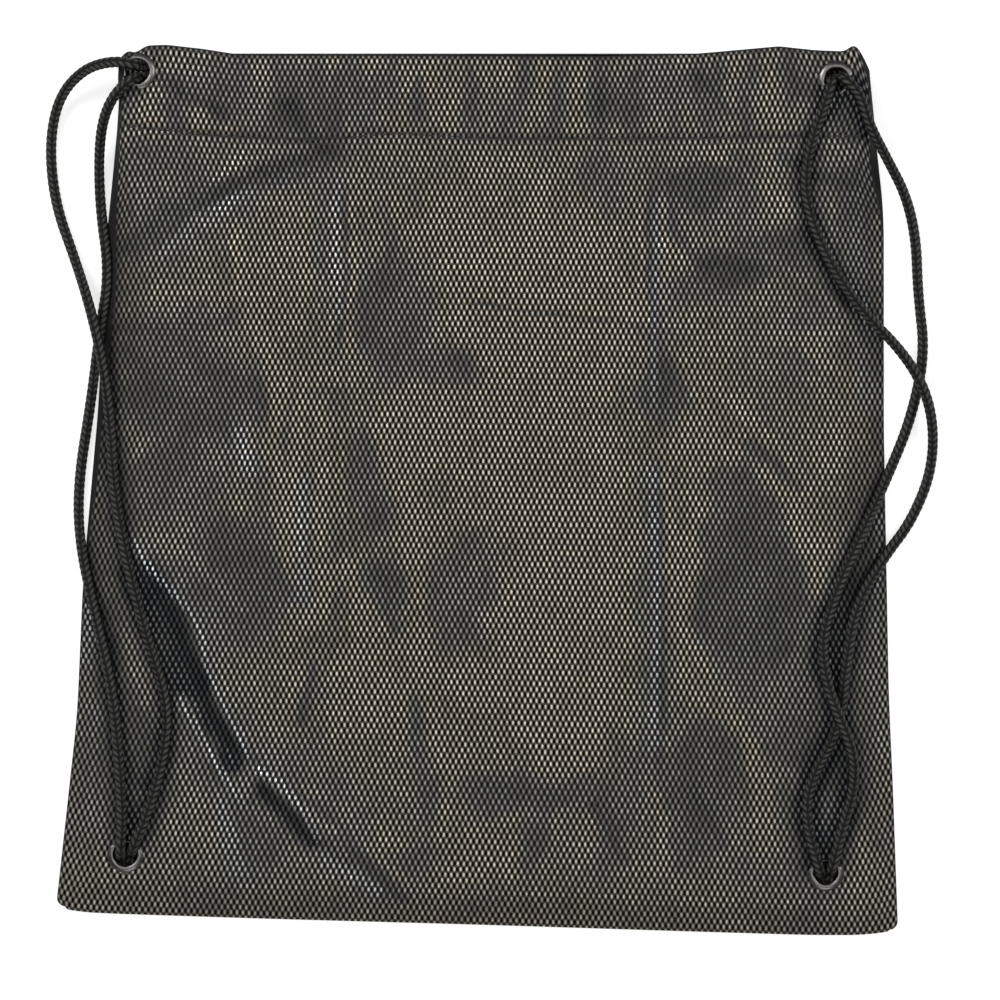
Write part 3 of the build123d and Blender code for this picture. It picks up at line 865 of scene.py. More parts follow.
def plan_grid(rows, columns, dense=520):
    """Places on the plan, evenly spaced along the cloth in each row, from bottom to mouth."""
    # the walls beside the mouth are nearly upright, so the samples crowd towards both sides
    even_share = np.linspace(0, 1, dense)
    crowded = 0.35 * even_share + 0.65 * (1 - np.cos(np.linspace(0, pi, dense))) / 2
    crowded = (1 - np.cos(pi * crowded)) / 2
    x_rows, y_rows, across_rows = [], [], []
    for share in np.linspace(0, 1, rows):
        left, right = row_ends(share)
        x = left + crowded * (right - left)
        run = running_total(np.hypot(np.diff(x), np.diff(body_height(x, row_y(x, share)))))
        even = np.interp(np.linspace(0, run[-1], columns), run, x)
        x_rows.append(even)
        y_rows.append(row_y(even, share))
        # the weave keeps its pitch as seen from above, except where the cloth is steep
        woven = running_total(np.maximum(np.diff(even), STEEP_SHARE * run[-1] / (columns - 1)))
        across_rows.append((woven / woven[-1] - 0.5) * CLOTH_WIDTH)
    x, y = rounded_plan(np.array(x_rows), np.array(y_rows))
    return x, y, np.array(across_rows)


# Painted light and shade on the dots: dull where the cloth lies away from the light, bright where it faces
# it.
# Soft ovals: place and half widths in millimetres, angle in degrees, strength.
SHADE_PATCHES = [
    ((-127, 186), (24, 13), 0, 0.2), ((-106, -167), (18, 16), -30, 0.34),
    ((158, 110), (12, 22), 0, 0.32), ((177, 177), (12, 14), 0, 0.32), ((116, 139), (28, 20), 0, 0.14),
    ((-156, -128), (14, 34), 0, 0.22), ((100, 196), (25, 10), 0, 0.18), ((-134, 41), (35, 22), 0, 0.46),
    ((-115, -40), (29, 30), 0, 0.46), ((-41, 84), (23, 34), 0, 0.44), ((-13, 59), (17, 10), 0, 0.38),
    ((-50, 10), (12, 33), 0, 0.3), ((-46, -45), (12, 15), 0, 0.42), ((-10, -54), (21, 27), -25, 0.38),
    ((6, -25), (19, 8), -15, 0.3), ((89, 49), (12, 17), 0, 0.52), ((112, 146), (21, 9), 25, 0.58),
    ((128, 109), (34, 11), 22, 0.5), ((168, 91), (24, 10), 32, 0.42), ((131, -45), (27, 52), 0, 0.52),
    ((107, -132), (19, 25), -20, 0.44), ((25, -143), (50, 9), 0, 0.36), ((180, 141), (12, 16), 0, 0.44),
    ((-144, 5), (21, 19), 0, 0.3), ((-68, 189), (31, 14), 0, 0.28), ((70, 184), (25, 16), 0, 0.38),
    ((-170, -75), (13, 57), -8, 0.32), ((164, -152), (15, 43), 0, 0.55),
    ((170, -71), (16, 36), -15, 0.42), ((-40, -183), (22, 11), 30, 0.36),
    ((107, -162), (10, 20), -30, 0.34), ((64, -165), (8, 19), -25, 0.32),
    ((26, -162), (7, 19), -10, 0.28), ((172, 190), (19, 14), 0, 0.48), ((59, 148), (11, 22), 0, 0.26),
    ((-156, 158), (14, 11), 0, 0.24), ((-149, 67), (27, 10), 0, 0.24), ((-137, 110), (40, 42), 0, 0.12),
    ((-141, 80), (18, 11), 0, 0.16), ((-70, 129), (10, 48), 0, 0.14), ((82, -71), (9, 105), 0, 0.15),
    ((82, 115), (10, 50), 0, 0.1), ((-132, 194), (38, 14), 0, 0.18), ((149, 194), (18, 13), 0, 0.24),
    ((178, 177), (10, 14), 0, 0.2), ((-98, -137), (48, 36), 0, 0.12), ((149, -176), (36, 14), 0, 0.14),
    ((-70, -90), (12, 12), 0, 0.18), ((154, -118), (29, 12), 0, 0.3), ((-22, -152), (9, 24), 0, 0.16),
]
LIGHT_PATCHES = [
    ((35, -80), (35, 45), 0, 0.15), ((-13, -175), (30, 14), 0, 0.14), ((-42, -80), (30, 22), 0, 0.12),
    ((177, 34), (9, 26), 0, 0.2), ((178, -52), (8, 24), 0, 0.16), ((-160, -82), (8, 26), 12, 0.26),
    ((-165, 24), (7, 14), 0, 0.2), ((11, 91), (71, 62), 0, 0.14), ((32, -33), (45, 90), 0, 0.16),
    ((-25, 28), (22, 24), 0, 0.26), ((30, 113), (33, 19), 0, 0.14), ((-94, 115), (20, 30), 0, 0.12),
    ((-60, -99), (30, 24), 0, 0.14), ((-179, -180), (20, 17), 0, 0.18), ((182, -185), (17, 17), 0, 0.2),
    ((-132, 108), (11, 14), 0, 0.18), ((154, -14), (9, 29), 20, 0.18), ((-146, 201), (14, 7), 0, 0.18),
    ((-110, 24), (6, 14), 0, 0.22), ((106, 20), (17, 12), 0, 0.18), ((-135, -158), (20, 12), -20, 0.1),
]
# Lines along folds, painted light on their ridges: points and half width in millimetres, strength.
RIDGES = [
    ([(-113, 136), (-115, 110), (-108, 79), (-93, 57), (-96, 25), (-93, -4), (-91, -33),
      (-84, -56)], 3.8, 0.34),
    ([(-84, 51), (-86, 10), (-85, -37)], 2.4, 0.3), ([(-75, 48), (-74, 5), (-76, -33)], 2.4, 0.26),
    ([(-60, 144), (-59, 101), (-60, 58)], 2.4, 0.26), ([(-68, 144), (-67, 105), (-69, 67)], 2.4, 0.26),
    ([(-45, 44), (-40, 10), (-31, -14), (-27, -47), (-23, -75)], 4.8, 0.32),
    ([(89, 72), (107, 46), (137, 22), (164, -9)], 3.8, 0.36),
    ([(85, 29), (93, -23), (97, -52)], 2.9, 0.34),
    ([(106, 5), (102, -33), (97, -66), (109, -97), (131, -121), (136, -147), (133, -180)], 4.3, 0.36),
    ([(130, 14), (149, -2), (160, -33), (163, -56)], 4.3, 0.32),
    ([(-84, -71), (-70, -42), (-63, -34), (-46, -71)], 3.8, 0.3),
    ([(78, 139), (79, 101), (80, 77)], 2.4, 0.3), ([(88, 144), (89, 110), (87, 82)], 2.4, 0.28),
    ([(-21, -99), (-15, -137), (-18, -171)], 3.8, 0.22),
    ([(82, -133), (89, -156), (87, -185)], 2.9, 0.26), ([(-3, 93), (40, 88), (78, 83)], 2.4, 0.22),
    ([(-156, 96), (-132, 95), (-113, 91)], 2.9, 0.2), ([(106, 163), (139, 144), (157, 124)], 2.9, 0.26),
    ([(-156, 191), (-132, 178), (-113, 170)], 2.4, 0.26),
    ([(-108, -133), (-84, -147), (-60, -167), (-27, -190)], 2.4, 0.3),
    ([(-84, 53), (-70, 55), (-60, 51)], 2.4, 0.2), ([(106, 120), (144, 109), (182, 77)], 2.4, 0.24),
    ([(-151, -23), (-132, -33), (-108, -61)], 2.4, 0.22),
    ([(154, 77), (173, 53), (186, 29)], 2.9, 0.22), ([(59, 63), (60, 5), (59, -71)], 4.8, 0.14),
]
# The deep fold at the lower left lies in full shade.
DEEP_FOLD = [
    ([(-164, -30), (-150, -51.6), (-141.9, -70.7), (-136.6, -89.7), (-133, -100)], 11.2, 0.88),
    ([(-136.6, -86), (-126.2, -108.8), (-118.7, -123), (-112, -136)], 8.2, 0.88),
    ([(-107, -136), (-91, -154), (-75, -171)], 3.6, 0.5),
]
# Painted shade in the furrows of folds: points and half width in millimetres, strength.
FURROWS = [
    ([(-158, -100), (-160, -125), (-158, -145)], 4.8, 0.45),
    ([(-68, 159), (-89, 152), (-115, 144), (-144, 133), (-174, 106)], 5.7, 0.55),
    ([(-153, 199), (-134, 187), (-115, 176)], 2.9, 0.5),
    ([(-93, 187), (-82, 174), (-66, 154)], 4.3, 0.52), ([(-63, 148), (-63, 110), (-64, 67)], 1.7, 0.45),
    ([(83, 148), (82, 105), (85, 63)], 2.4, 0.48),
    ([(85, 25), (86, -33), (87, -99), (86, -147)], 2.9, 0.58),
    ([(123, 28), (142, 14), (157, -4)], 4.3, 0.48),
    ([(-107, -136), (-91, -154), (-75, -171)], 4.3, 0.65),
    ([(-70, -161), (-51, -178), (-32, -197)], 2.9, 0.6),
    ([(-120, -111), (-99, -135), (-65, -159), (-41, -185)], 2.4, 0.5),
    ([(-78, -80), (-82, -99), (-85, -114)], 2.9, 0.42),
    ([(-50, -33), (-41, -52), (-38, -71)], 3.3, 0.4), ([(54, -147), (63, -166), (75, -179)], 2.9, 0.42),
    ([(-179, 79), (-151, 77), (-113, 81)], 2.4, 0.32), ([(-8, 89), (40, 84), (82, 79)], 1.7, 0.34),
    ([(116, -71), (135, -78), (154, -71)], 2.9, 0.28),
    ([(93, 155), (91, 124), (106, 109), (135, 101)], 2.9, 0.42),
    ([(101, -137), (112, -156), (117, -171)], 2.9, 0.46),
    ([(-32, -90), (-27, -128), (-22, -161)], 3.8, 0.32),
    ([(1, -137), (20, -145), (40, -142)], 3.3, 0.34), ([(-65, 201), (-68, 186), (-63, 173)], 2.4, 0.4),
    ([(-50, 200), (-48, 188), (-51, 177)], 2.4, 0.38),
    ([(-27, 199), (-30, 186), (-28, 178)], 2.4, 0.34),
    ([(101, 203), (114, 187), (123, 174)], 2.4, 0.44), ([(78, 205), (75, 191), (79, 174)], 2.4, 0.38),
    ([(139, 163), (159, 152), (182, 144)], 3.3, 0.42),
    ([(-107, 201), (-102, 190), (-105, 177)], 2.4, 0.32), ([(-3, 203), (0, 191), (-4, 181)], 1.9, 0.24),
    ([(-44, 139), (-40, 115), (-46, 96)], 2.9, 0.22), ([(178, 44), (154, 63), (135, 67)], 2.9, 0.22),
]
# Painted highlights along the ridges of folds: points and half width in millimetres, level.
GLINTS = [
    ([(-166, -17), (-158, -32.5), (-149, -43.5), (-135, -58.5), (-130, -71), (-129.3, -80),
      (-124.8, -92.5), (-117.8, -107.8), (-110.8, -120.6), (-105.5, -133)], 1.6, 0.68),
    ([(-107, -130), (-93, -139), (-81, -154), (-74, -168)], 1.9, 0.7),
    ([(-142, -94.5), (-139, -101.6), (-132.8, -112.6), (-126.9, -123.8), (-120.9, -134.8),
      (-108, -153)], 1.6, 0.68),
    ([(-66, 153), (-67, 110), (-65, 77)], 1.9, 0.55), ([(85, 144), (85, 91), (84, 34)], 1.9, 0.45),
    ([(83, 20), (85, -40), (84, -130)], 3, 0.5), ([(-84, 10), (-83, -33), (-82, -56)], 3.6, 0.45),
    ([(-151, 109), (-132, 132), (-102, 144)], 2.4, 0.45),
    ([(-115, 32), (-111, 22), (-107, 5)], 3.8, 0.5),
    ([(-75, -171), (-60, -181), (-44, -193)], 3.3, 0.6),
    ([(-122, -138), (-117, -166), (-110, -190)], 4, 0.42),
    ([(-181, -99), (-183, -137), (-185, -166)], 1.7, 0.4),
    ([(178, 150), (181, 112), (184, 77), (186, 34)], 6, 0.34),
    ([(192, -4), (190, -61), (192, -128)], 1.9, 0.4),
    ([(-185, -50), (-185.6, -66), (-186.2, -86)], 2.2, 0.5),
]


# How strongly the painted light and shade, the painted glints with their paler halo, the painted shadow
# beside the cords and the painted shade along the stitches are laid on.
TONE_MIDDLE = 0.63
TONE_CONTRAST = 1.50
DULLEST = 0.33
GLINT_REACH = 1.1
GLINT_GAIN = 1.1
# In millimetres, as the lines that it surrounds.
HALO_REACH = 7.5
GLINT_ENDS = 0.08
GLINT_EDGE = 4
HALO_GAIN = 0.16
HALO_COOLING = 0.7
CORD_SHADE = 0.80
CORD_SHADE_REACH = 0.0048
EVEN_SHEEN = 0.70
DULL_SLOPE = 0.3
HEM_TONE_REACH = (0.160, 0.175)
STITCH_SHADE = (0.55, 0.0009)
WARM_SHEEN = (0.46, 0.80)
WARM_MIDDLE = ((0.015, -0.010), (0.170, 0.250))


def shine(x, y, swayed):
    """The cool glints on the ridges of folds, and the paler zone round each."""
    glint, halo = np.zeros(x.shape), np.zeros(x.shape)
    for points, width, level in GLINTS:
        line = stroke(x / MM, y / MM, points, GLINT_REACH * width, GLINT_ENDS, GLINT_EDGE)
        glint = glint + GLINT_GAIN * level * line
        halo = np.maximum(halo, stroke(*swayed, points, HALO_REACH, GLINT_ENDS))
    return glint + HALO_GAIN * halo * (1 + ripple(x, y, HALO_MOTTLE)), halo


def tones(x, y):
    """The painted light and shade on the pale ovals at each place: how bright, how warm, and how cool and
    shining.
    """
    # the edges of the patches wander like cloth, not like drawn ovals
    sway_x, sway_y = ripple(x, y, SWAY_ACROSS), ripple(x, y, SWAY_ALONG)
    swayed = (x + sway_x) / MM, (y + sway_y) / MM
    painted_shading = np.full(x.shape, EVEN_SHEEN)
    for place, size, angle, strength in LIGHT_PATCHES:
        painted_shading = painted_shading + strength * patch(*swayed, place, size, angle)
    for place, size, angle, strength in SHADE_PATCHES:
        painted_shading = painted_shading * (1 - strength * patch(*swayed, place, size, angle))
    swayed = (x + sway_x / 2) / MM, (y + sway_y / 2) / MM
    for points, width, strength in RIDGES:
        painted_shading = painted_shading + strength * stroke(*swayed, points, width)
    for points, width, strength in FURROWS:
        painted_shading = painted_shading * (1 - strength * stroke(*swayed, points, width, power=3))
    painted_shading = painted_shading + ripple(x, y, FINE_MOTTLE) + ripple(x, y, BROAD_MOTTLE)
    painted_shading = painted_shading + smooth_step(y, *HEM_TONE_REACH) * ripple(x, y, HEM_MOTTLE)
    # Painted shade along the stitch line.
    depth, width = STITCH_SHADE
    painted_shading = painted_shading * (1 - depth * np.exp(-((y - stitch_y(x)) / width) ** 2))
    painted_shading = TONE_MIDDLE + TONE_CONTRAST * (painted_shading - TONE_MIDDLE)
    painted_shading = np.where(painted_shading < DULLEST, DULLEST + DULL_SLOPE * (painted_shading - DULLEST), painted_shading)
    for points, width, strength in DEEP_FOLD:
        painted_shading = painted_shading * (1 - strength * stroke(*swayed, points, width, power=3))
    # Painted shadow on the cloth beside each cord.
    for line in strand_lines.values():
        beside = np.clip(nearest_cord(line, x, y)[0] - CORD_DIAMETER / 2, 0, None)
        painted_shading = painted_shading * (1 - CORD_SHADE * np.exp(-(beside / CORD_SHADE_REACH) ** 2))
    glint, halo = shine(x, y, swayed)
    # The warmth follows the painted shading: warmer in painted light, cooler in painted shade and in the
    # painted halo round the glints, with a random mottle; it is stronger in the middle.
    low, high = WARM_SHEEN
    warmth = (painted_shading - low) / (high - low) + ripple(x, y, WARM_MOTTLE) - HALO_COOLING * halo
    warmth = warmth * (0.40 + 0.60 * patch(x, y, *WARM_MIDDLE))
    return np.clip(painted_shading, 0.03, 1.05), np.clip(warmth, 0, 1), np.clip(glint, 0, 1)


# Width of the plain turned edge that shows along each side, at places along the bag.
LEFT_BAND = [(-0.230, 0.0006), (-0.040, 0.0008), (-0.018, 0.0014), (0.000, 0.0028), (0.040, 0.0030),
             (0.100, 0.0070), (0.128, 0.0044), (0.150, 0.0036), (0.190, 0.0030), (0.215, 0.0015)]
RIGHT_BAND = [(-0.230, 0.0006), (0.118, 0.0008), (0.135, 0.0020), (0.147, 0.0042), (0.159, 0.0049),
              (0.170, 0.0040), (0.185, 0.0028), (0.195, 0.0028), (0.203, 0.0034), (0.215, 0.0034)]
BAND_SOFTENING = 0.005
MOUTH_BORDER = 0.0006
# At the top right corner the edge stands up as an ear and shows its plain turned side.
EAR_REACH = (0.1795, 0.1840)
EAR_BORDER = 0.0042
PLAIN_EDGE = 0.0006
# The rows of the mouth's turned edges: how far beyond the edge each lies, and how much higher.
FRONT_TURN = ((0.0004, -0.0004), (0.0002, -0.0010), (-0.0006, -0.0015), (-0.0030, -0.0017))
BACK_TURN = ((0.0003, 0.0005), (0.0, 0.0011), (-0.0012, 0.0014), (-0.0030, 0.0014))
BACK_LOWEST = 0.0001
BACK_LIFT = 0.00015
BACK_WAVE = 0.0003
BACK_EDGE = 0.004
BACK_CALM = 0.02


def plain_edge(x, y):
    """1 where the cloth shows its plain turned edge: along the sides, the mouth and its ear."""
    left_band = soft_line(LEFT_BAND, y, BAND_SOFTENING)
    right_band = soft_line(RIGHT_BAND, y, BAND_SOFTENING)
    border = MOUTH_BORDER + EAR_BORDER * smooth_step(x, *EAR_REACH)
    return np.maximum.reduce([
        1 - smooth_step(x - x[:, :1] - left_band, -PLAIN_EDGE, PLAIN_EDGE),
        1 - smooth_step(x[:, -1:] - x - right_band, -PLAIN_EDGE, PLAIN_EDGE),
        1 - smooth_step(mouth_y(x) - y - border, 0, MOUTH_BORDER),
    ])


def clear_of_eyelets(points, faces):
    """The faces that don't lie over an eyelet's hole."""
    middles = points.reshape(-1, 3)[faces].mean(axis=1)
    kept = np.ones(len(faces), bool)
    for place_x, place_y, _ in EYELETS.values():
        kept &= np.hypot(middles[:, 0] - place_x, middles[:, 1] - place_y) >= EYELET_CLEARING
    return faces[kept]


def with_turned_edge(points, turns):
    """Adds the rows of the mouth's turned edge, none of them pushed below the rim."""
    turned = []
    for back, rise in turns:
        row = points[-1].copy()
        row[:, 1] += back
        row[:, 2] = np.maximum(row[:, 2] + rise, np.minimum(row[:, 2], RIM_HEIGHT))
        turned.append(row)
    return np.concatenate([points, np.array(turned)])


def flat_places(across, along):
    """Places on the cloth as it lay before it was sewn."""
    return np.stack([across, along, np.zeros_like(across)], axis=-1).reshape(-1, 3)


def front_cloth():
    """The front of the bag: one sheet from the side and bottom folds to the turned mouth edge."""
    x, y, across = plan_grid(CLOTH_ROWS, CLOTH_COLUMNS)
    z = under_cords(x, y, creased_height(x, y))
    z[:, [0, -1]] = np.minimum(z[:, [0, -1]], RIM_HEIGHT)
    z[0] = RIM_HEIGHT
    points = with_turned_edge(np.stack([x, y, z], axis=-1), FRONT_TURN)
    rows = len(points)
    across = np.concatenate([across, np.tile(across[-1:], (len(FRONT_TURN), 1))])
    along = np.arange(rows)[:, None] * (CLOTH_LENGTH / (CLOTH_ROWS - 1)) * np.ones((1, CLOTH_COLUMNS))
    x, y = points[..., 0], points[..., 1]
    painted_shading, warmth, glint = tones(x, y)
    faces = clear_of_eyelets(points, grid_faces(rows, CLOTH_COLUMNS))
    cloth = mesh_object("front_cloth", points, faces, DOTTED, {
        "flat_place": flat_places(across, along), "painted_shading": painted_shading.ravel(), "warmth": warmth.ravel(),
        "glint": glint.ravel(), "plain": plain_edge(x, y).ravel(),
    })
    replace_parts(cloth, "front_panel")
    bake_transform(cloth)


def back_cloth():
    """The back of the bag: lies on the floor, its edges turned up to meet the front's."""
    x, y = flat_grid(BACK_ROWS, BACK_COLUMNS)
    edge = np.minimum.reduce([x - x[:, :1], x[:, -1:] - x, y - bottom_y(x)])
    z = BACK_LIFT + RIM_HEIGHT * (1 - smooth_step(edge, 0.0, BACK_EDGE)) ** 2
    z = z + BACK_WAVE * (1 + ripple(x, y, BACK_SWELL)) * smooth_step(edge, BACK_EDGE, BACK_CALM)
    z[:, [0, -1]] = RIM_HEIGHT
    z[0] = RIM_HEIGHT
    points = np.stack([x, y, np.clip(z, BACK_LOWEST, None)], axis=-1)
    points = with_turned_edge(points, BACK_TURN)
    rows = len(points)
    count = rows * BACK_COLUMNS
    across = np.tile(np.linspace(-0.5, 0.5, BACK_COLUMNS) * CLOTH_WIDTH, (rows, 1))
    along = np.tile(np.linspace(0, CLOTH_LENGTH, rows)[:, None], (1, BACK_COLUMNS))
    cloth = mesh_object("back_cloth", points, grid_faces(rows, BACK_COLUMNS)[:, ::-1], DOTTED, {
        "flat_place": flat_places(across, along), "painted_shading": np.full(count, BACK_SHEEN),
        "warmth": np.full(count, BACK_WARMTH), "glint": np.zeros(count), "plain": np.zeros(count),
    })
    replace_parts(cloth, "back_panel")
    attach(cloth, "back")


# ---------------------------------------------------------------- channel strips and seams

def chaikin(points, rounds=3):
    """Rounds the bends of an open line."""
    line = np.array(points, float)
    for _ in range(rounds):
        first, second = line[:-1], line[1:]
        cut = np.stack([first * 0.75 + second * 0.25, first * 0.25 + second * 0.75], axis=1)
        line = np.concatenate([line[:1], cut.reshape(-1, line.shape[1]), line[-1:]])
    return line


def thick_outline(line, thickness):
    """A closed outline round an open line of (y, z) points."""
    heading = headings(line)
    normal = np.stack([-heading[:, 1], heading[:, 0]], axis=1) * thickness / 2
    return np.concatenate([line + normal, (line - normal)[::-1]])


def facing_strip(name, profile, body, thickness, slack):
    """Turned-in cloth that makes one half of the cord channel, with a soft wave along it."""
    outline = thick_outline(chaikin(profile), thickness)
    y, z = outline[:, 0], outline[:, 1]
    free = smooth_step(y, 0.172, 0.180) * (1 - smooth_step(y, 0.200, 0.206))
    rows = []
    for station in np.linspace(*STRIP_ENDS, STRIP_STATIONS):
        sway = np.array([noise.noise(Vector((station / 0.03, b / 0.03, slack * 900))) for b in y])
        rows.append(np.stack([np.full(len(y), station), y, z + slack * sway * free], axis=1))
    faces = bar_faces(STRIP_STATIONS, len(y))
    strip = mesh_object("sewn_" + name, np.array(rows), faces, PLAIN)
    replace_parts(strip, name)
    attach(strip, body)


STRIP_ENDS = (-0.1563, 0.1630)
STRIP_STATIONS = 160
STRIP_TOP = MOUTH_TOP - PANEL_THICKNESS - 0.0009
FRONT_STRIP = [
    (0.1690, 0.0203), (0.1720, 0.0190), (0.1765, 0.0133), (0.1820, 0.0132), (0.1900, 0.0132),
    (0.2000, 0.0132), (0.2070, 0.0132), (0.2074, 0.0160), (0.2074, 0.0190), (0.2074, STRIP_TOP),
]
BACK_STRIP = [
    (0.1685, 0.0014), (0.1715, 0.0022), (0.1765, 0.0066), (0.1820, 0.0067), (0.1900, 0.0067),
    (0.2000, 0.0067), (0.2070, 0.0067), (0.2074, 0.0050), (0.2074, 0.0030), (0.2074, 0.0015),
]


def facing_strips():
    facing_strip("front_channel_strip", FRONT_STRIP, "front", 0.0007, 0.0007)
    facing_strip("back_channel_strip", BACK_STRIP, "back", 0.0006, 0.0005)


SEAM_WIDTH = 0.008
SEAM_INSET = 0.009
SEAM_SIDES = 20


def seam_band(name, path):
    """A turned cut edge lying flat inside the bag, with rounded edges."""
    line = chaikin([(x, y, 0.0014) for x, y in path], 2)
    heading = headings(line)
    across = np.stack([-heading[:, 1], heading[:, 0], np.zeros(len(line))], axis=1)
    ring = np.linspace(0, 2 * pi, SEAM_SIDES, endpoint=False)
    flat = np.sign(np.cos(ring)) * np.abs(np.cos(ring)) ** 0.5 * SEAM_WIDTH / 2
    tall = np.sin(ring) * 0.0005
    points = line[:, None, :] + across[:, None, :] * flat[None, :, None]
    points = points + np.array((0.0, 0.0, 1.0)) * tall[None, :, None]
    band = mesh_object("folded_" + name, points, bar_faces(len(line), SEAM_SIDES, turned=True), PLAIN)
    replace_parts(band, name)
    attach(band, "back")


def inset_side(places, low, high, inset):
    """A line inside one side of the bag."""
    y = np.linspace(low, high, 24)
    return list(zip(side_x(places, y) + inset, y))


def seams():
    seam_band("left_side_seam", inset_side(LEFT_SIDE, -0.184, 0.165, SEAM_INSET))
    seam_band("right_side_seam", inset_side(RIGHT_SIDE, -0.184, 0.165, -SEAM_INSET))
    seam_band("bottom_seam", [(-0.186, -0.1925), (-0.060, -0.1960), (0.060, -0.1995), (0.183, -0.2028)])


# ---------------------------------------------------------------- stitches

STITCH_LENGTH = 0.0034
STITCH_PITCH = 0.0046
STITCH_SIDES = 8
# A stitch from end to end: share of its length from the middle, radius.
STITCH_SHAPE = ((-0.5, 0.000017), (-0.46, 0.000204), (-0.3, 0.00034),
                (0.3, 0.00034), (0.46, 0.000204), (0.5, 0.000017))


def stitch_row(name, places, body):
    """A row of separate stitches, each a small rounded bar that follows the line."""
    line = np.array(places, float)
    run = run_along(line)
    turn = np.linspace(0, 2 * pi, STITCH_SIDES, endpoint=False)
    bar = grid_faces(len(STITCH_SHAPE), STITCH_SIDES, closed=True)
    points, faces = [], []
    for number in range(int(run[-1] / STITCH_PITCH)):
        middle = STITCH_PITCH * (number + 0.5)
        start, end = [np.array([np.interp(place, run, line[:, axis]) for axis in range(3)])
                      for place in (middle - STITCH_LENGTH / 2, middle + STITCH_LENGTH / 2)]
        along = end - start
        across = np.array((-along[1], along[0], 0.0))
        across /= np.linalg.norm(across)
        faces += (bar + len(points)).tolist()
        for share, radius in STITCH_SHAPE:
            for angle in turn:
                offset = across * cos(angle) * radius + np.array((0, 0, sin(angle) * radius))
                points.append((start + end) / 2 + along * share + offset)
    row = mesh_object(name, np.array(points), faces, THREAD)
    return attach(row, body)


def stitches():
    x = np.linspace(-0.1660, 0.1870, 300)
    y = stitch_y(x)
    z = creased_height(x, y) + 0.0003
    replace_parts(stitch_row("channel_stitches_front", np.stack([x, y, z], axis=1), "front"),
                "front_channel_stitching")
    back = [(end, 0.1800, 0.0072) for end in STRIP_ENDS]
    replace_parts(stitch_row("channel_stitches_back", back, "back"), "back_channel_stitching")
    for name, line in (
        ("left_side_seam_thread", inset_side(LEFT_SIDE, -0.181, 0.164, SEAM_INSET)),
        ("right_side_seam_thread", inset_side(RIGHT_SIDE, -0.181, 0.164, -SEAM_INSET)),
        ("bottom_seam_thread", [(-0.184, -0.1926), (0.181, -0.2027)]),
    ):
        row = stitch_row("stitches_" + name, [(a, b, 0.0020) for a, b in line], "back")
        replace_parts(row, name)


# ---------------------------------------------------------------- knots and metal

def knot(name, place):
    """A tight overhand knot: a closed trefoil of the same braided cord."""
    turn = np.linspace(0, 2 * pi, 360)
    line = np.stack([
        np.sin(turn) + 2 * np.sin(2 * turn), np.cos(turn) - 2 * np.cos(2 * turn), -np.sin(3 * turn),
    ], axis=1) * KNOT_SIZE
    tied = braided_tube("tied_" + name, line + np.array(place))
    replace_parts(tied, name)
    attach(tied, "front")


KNOT_SIZE = (0.0018, 0.0018, 0.0020)
KNOT_HEIGHT = 0.0058


def knots():
    for name, corner in (("left_knot", "bottom_left"), ("right_knot", "bottom_right")):
        knot(name, (*EYELETS[corner][:2], KNOT_HEIGHT))


def turned_ring(name, profile, place, material, sides=96):
    """A ring with a closed profile of (radius, height) points."""
    turn = np.linspace(0, 2 * pi, sides, endpoint=False)
    ring = np.array(profile)
    points = np.stack([
        place[0] + ring[:, :1] * np.cos(turn), place[1] + ring[:, :1] * np.sin(turn),
        place[2] + np.tile(ring[:, 1:], (1, sides)),
    ], axis=-1)
    points = np.concatenate([points, points[:1]])
    inside = (ring[:, 0] < BARREL_REACH) & (ring[:, 1] < BARREL_SHADE)
    inside = np.repeat(np.append(inside, inside[0]), sides).astype(float)
    faces = grid_faces(len(points), sides, closed=True)
    made = mesh_object(name, points, faces, material, {"inside": inside})
    weld = bmesh.new()
    weld.from_mesh(made.data)
    bmesh.ops.remove_doubles(weld, verts=weld.verts, dist=1e-7)
    bmesh.ops.recalc_face_normals(weld, faces=weld.faces)
    weld.to_mesh(made.data)
    weld.free()
    return made


# The barrel's wall below the lip lies in shade and is dull.
BARREL_REACH = 0.0057
BARREL_SHADE = 0.0003
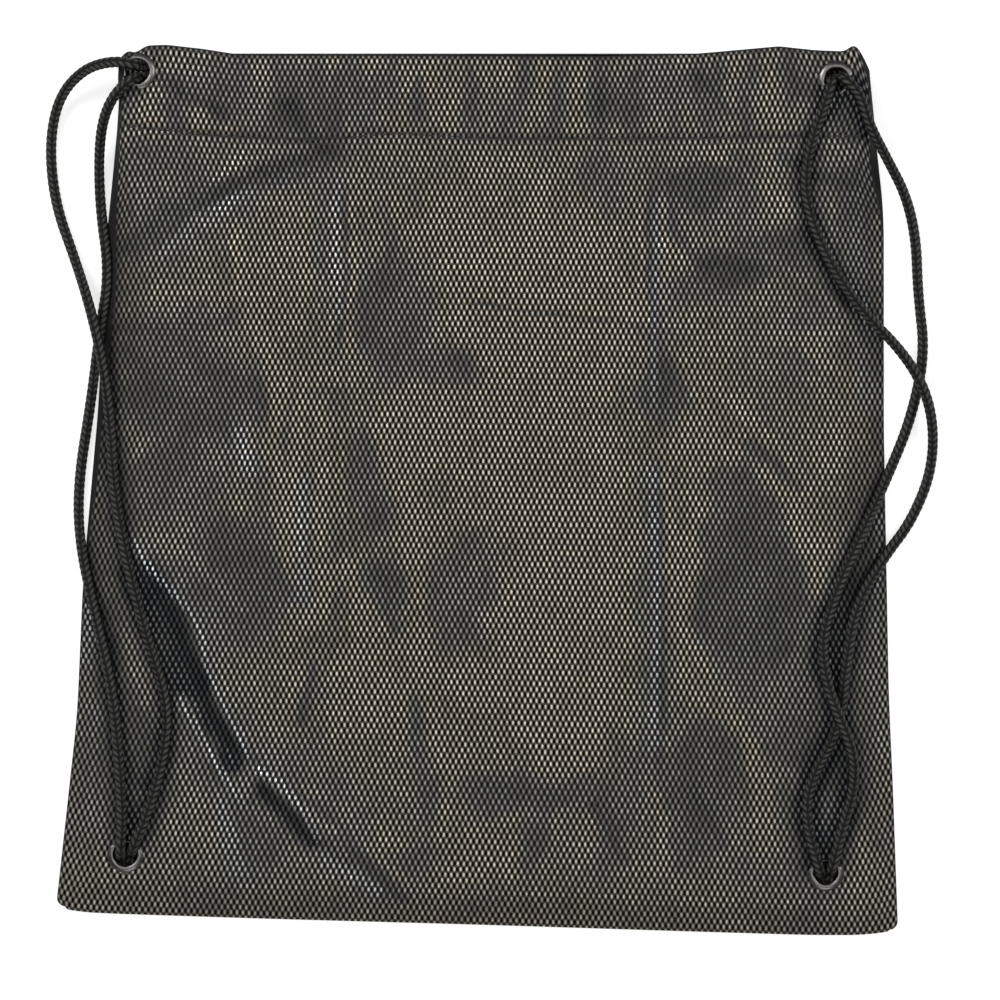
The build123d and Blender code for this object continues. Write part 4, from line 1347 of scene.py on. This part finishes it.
# The eyelet's rolled lip above the cloth and its barrel: radius and height over the cloth.
EYELET_LIP = [
    (0.00550, -0.0018), (0.00550, -0.0008), (0.00550, 0.0002), (0.00555, 0.0005), (0.00572, 0.00075),
    (0.00600, 0.00092), (0.00640, 0.00100), (0.00685, 0.00097), (0.00730, 0.00086), (0.00775, 0.00068),
    (0.00815, 0.00046), (0.00848, 0.00022), (0.00868, 0.00006), (0.00875, -0.00010),
]
EYELET_UNDERSIDE = [(0.00868, -0.00016), (0.00820, -0.00008), (0.00612, -0.00008), (0.00608, -0.00100),
                    (0.00606, -0.00180)]


def metal_parts():
    """Eyelets with a rolled lip, and the washers behind the cloth."""
    for corner, place in EYELETS.items():
        profile = EYELET_LIP + EYELET_UNDERSIDE
        eyelet = turned_ring("pressed_" + corner + "_eyelet", profile, place, EYELET_METAL)
        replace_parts(eyelet, corner + "_eyelet")
        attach(eyelet, "front")
        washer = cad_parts[corner + "_washer"]
        washer.data.materials.clear()
        washer.data.materials.append(WASHER_METAL)


front_cloth()
back_cloth()
facing_strips()
seams()
stitches()
knots()
metal_parts()


# ---------------------------------------------------------------- floor and light

def floor():
    material, sockets, _ = shader("floor", 0.9)
    sockets["Base Color"].default_value = (0.60, 0.60, 0.60, 1)
    sockets["Emission Color"].default_value = (1, 1, 1, 1)
    sockets["Emission Strength"].default_value = 0.62
    size = 4.0
    corners = np.array([(-size, -size, 0), (size, -size, 0), (size, size, 0), (-size, size, 0)], float)
    mesh_object("floor", corners, [(0, 1, 2, 3)], material)


def area_light(name, place, aim, size, power):
    data = bpy.data.lights.new(name, "AREA")
    data.shape = "SQUARE"
    data.size = size
    data.energy = power
    made = bpy.data.objects.new(name, data)
    made.location = place
    made.rotation_euler = (Vector(aim) - Vector(place)).to_track_quat("-Z", "Y").to_euler()
    bpy.context.scene.collection.objects.link(made)


def light():
    world = bpy.data.worlds.new("studio")
    world.use_nodes = True
    background = world.node_tree.nodes["Background"].inputs
    background["Color"].default_value = (1, 1, 1, 1)
    background["Strength"].default_value = 0.20
    bpy.context.scene.world = world
    area_light("key", (-1.2, 1.0, 1.8), (0, 0, 0), 0.9, 28)
    area_light("fill", (1.4, 0.5, 1.6), (0, 0, 0), 0.9, 14)
    area_light("foot", (0.2, -1.6, 1.5), (0, 0, 0), 0.9, 7)
    area_light("overhead", (0.0, 0.1, 3.3), (0, 0, 0), 2.0, 24)
    bpy.context.scene.view_settings.view_transform = "Standard"


floor()
light()
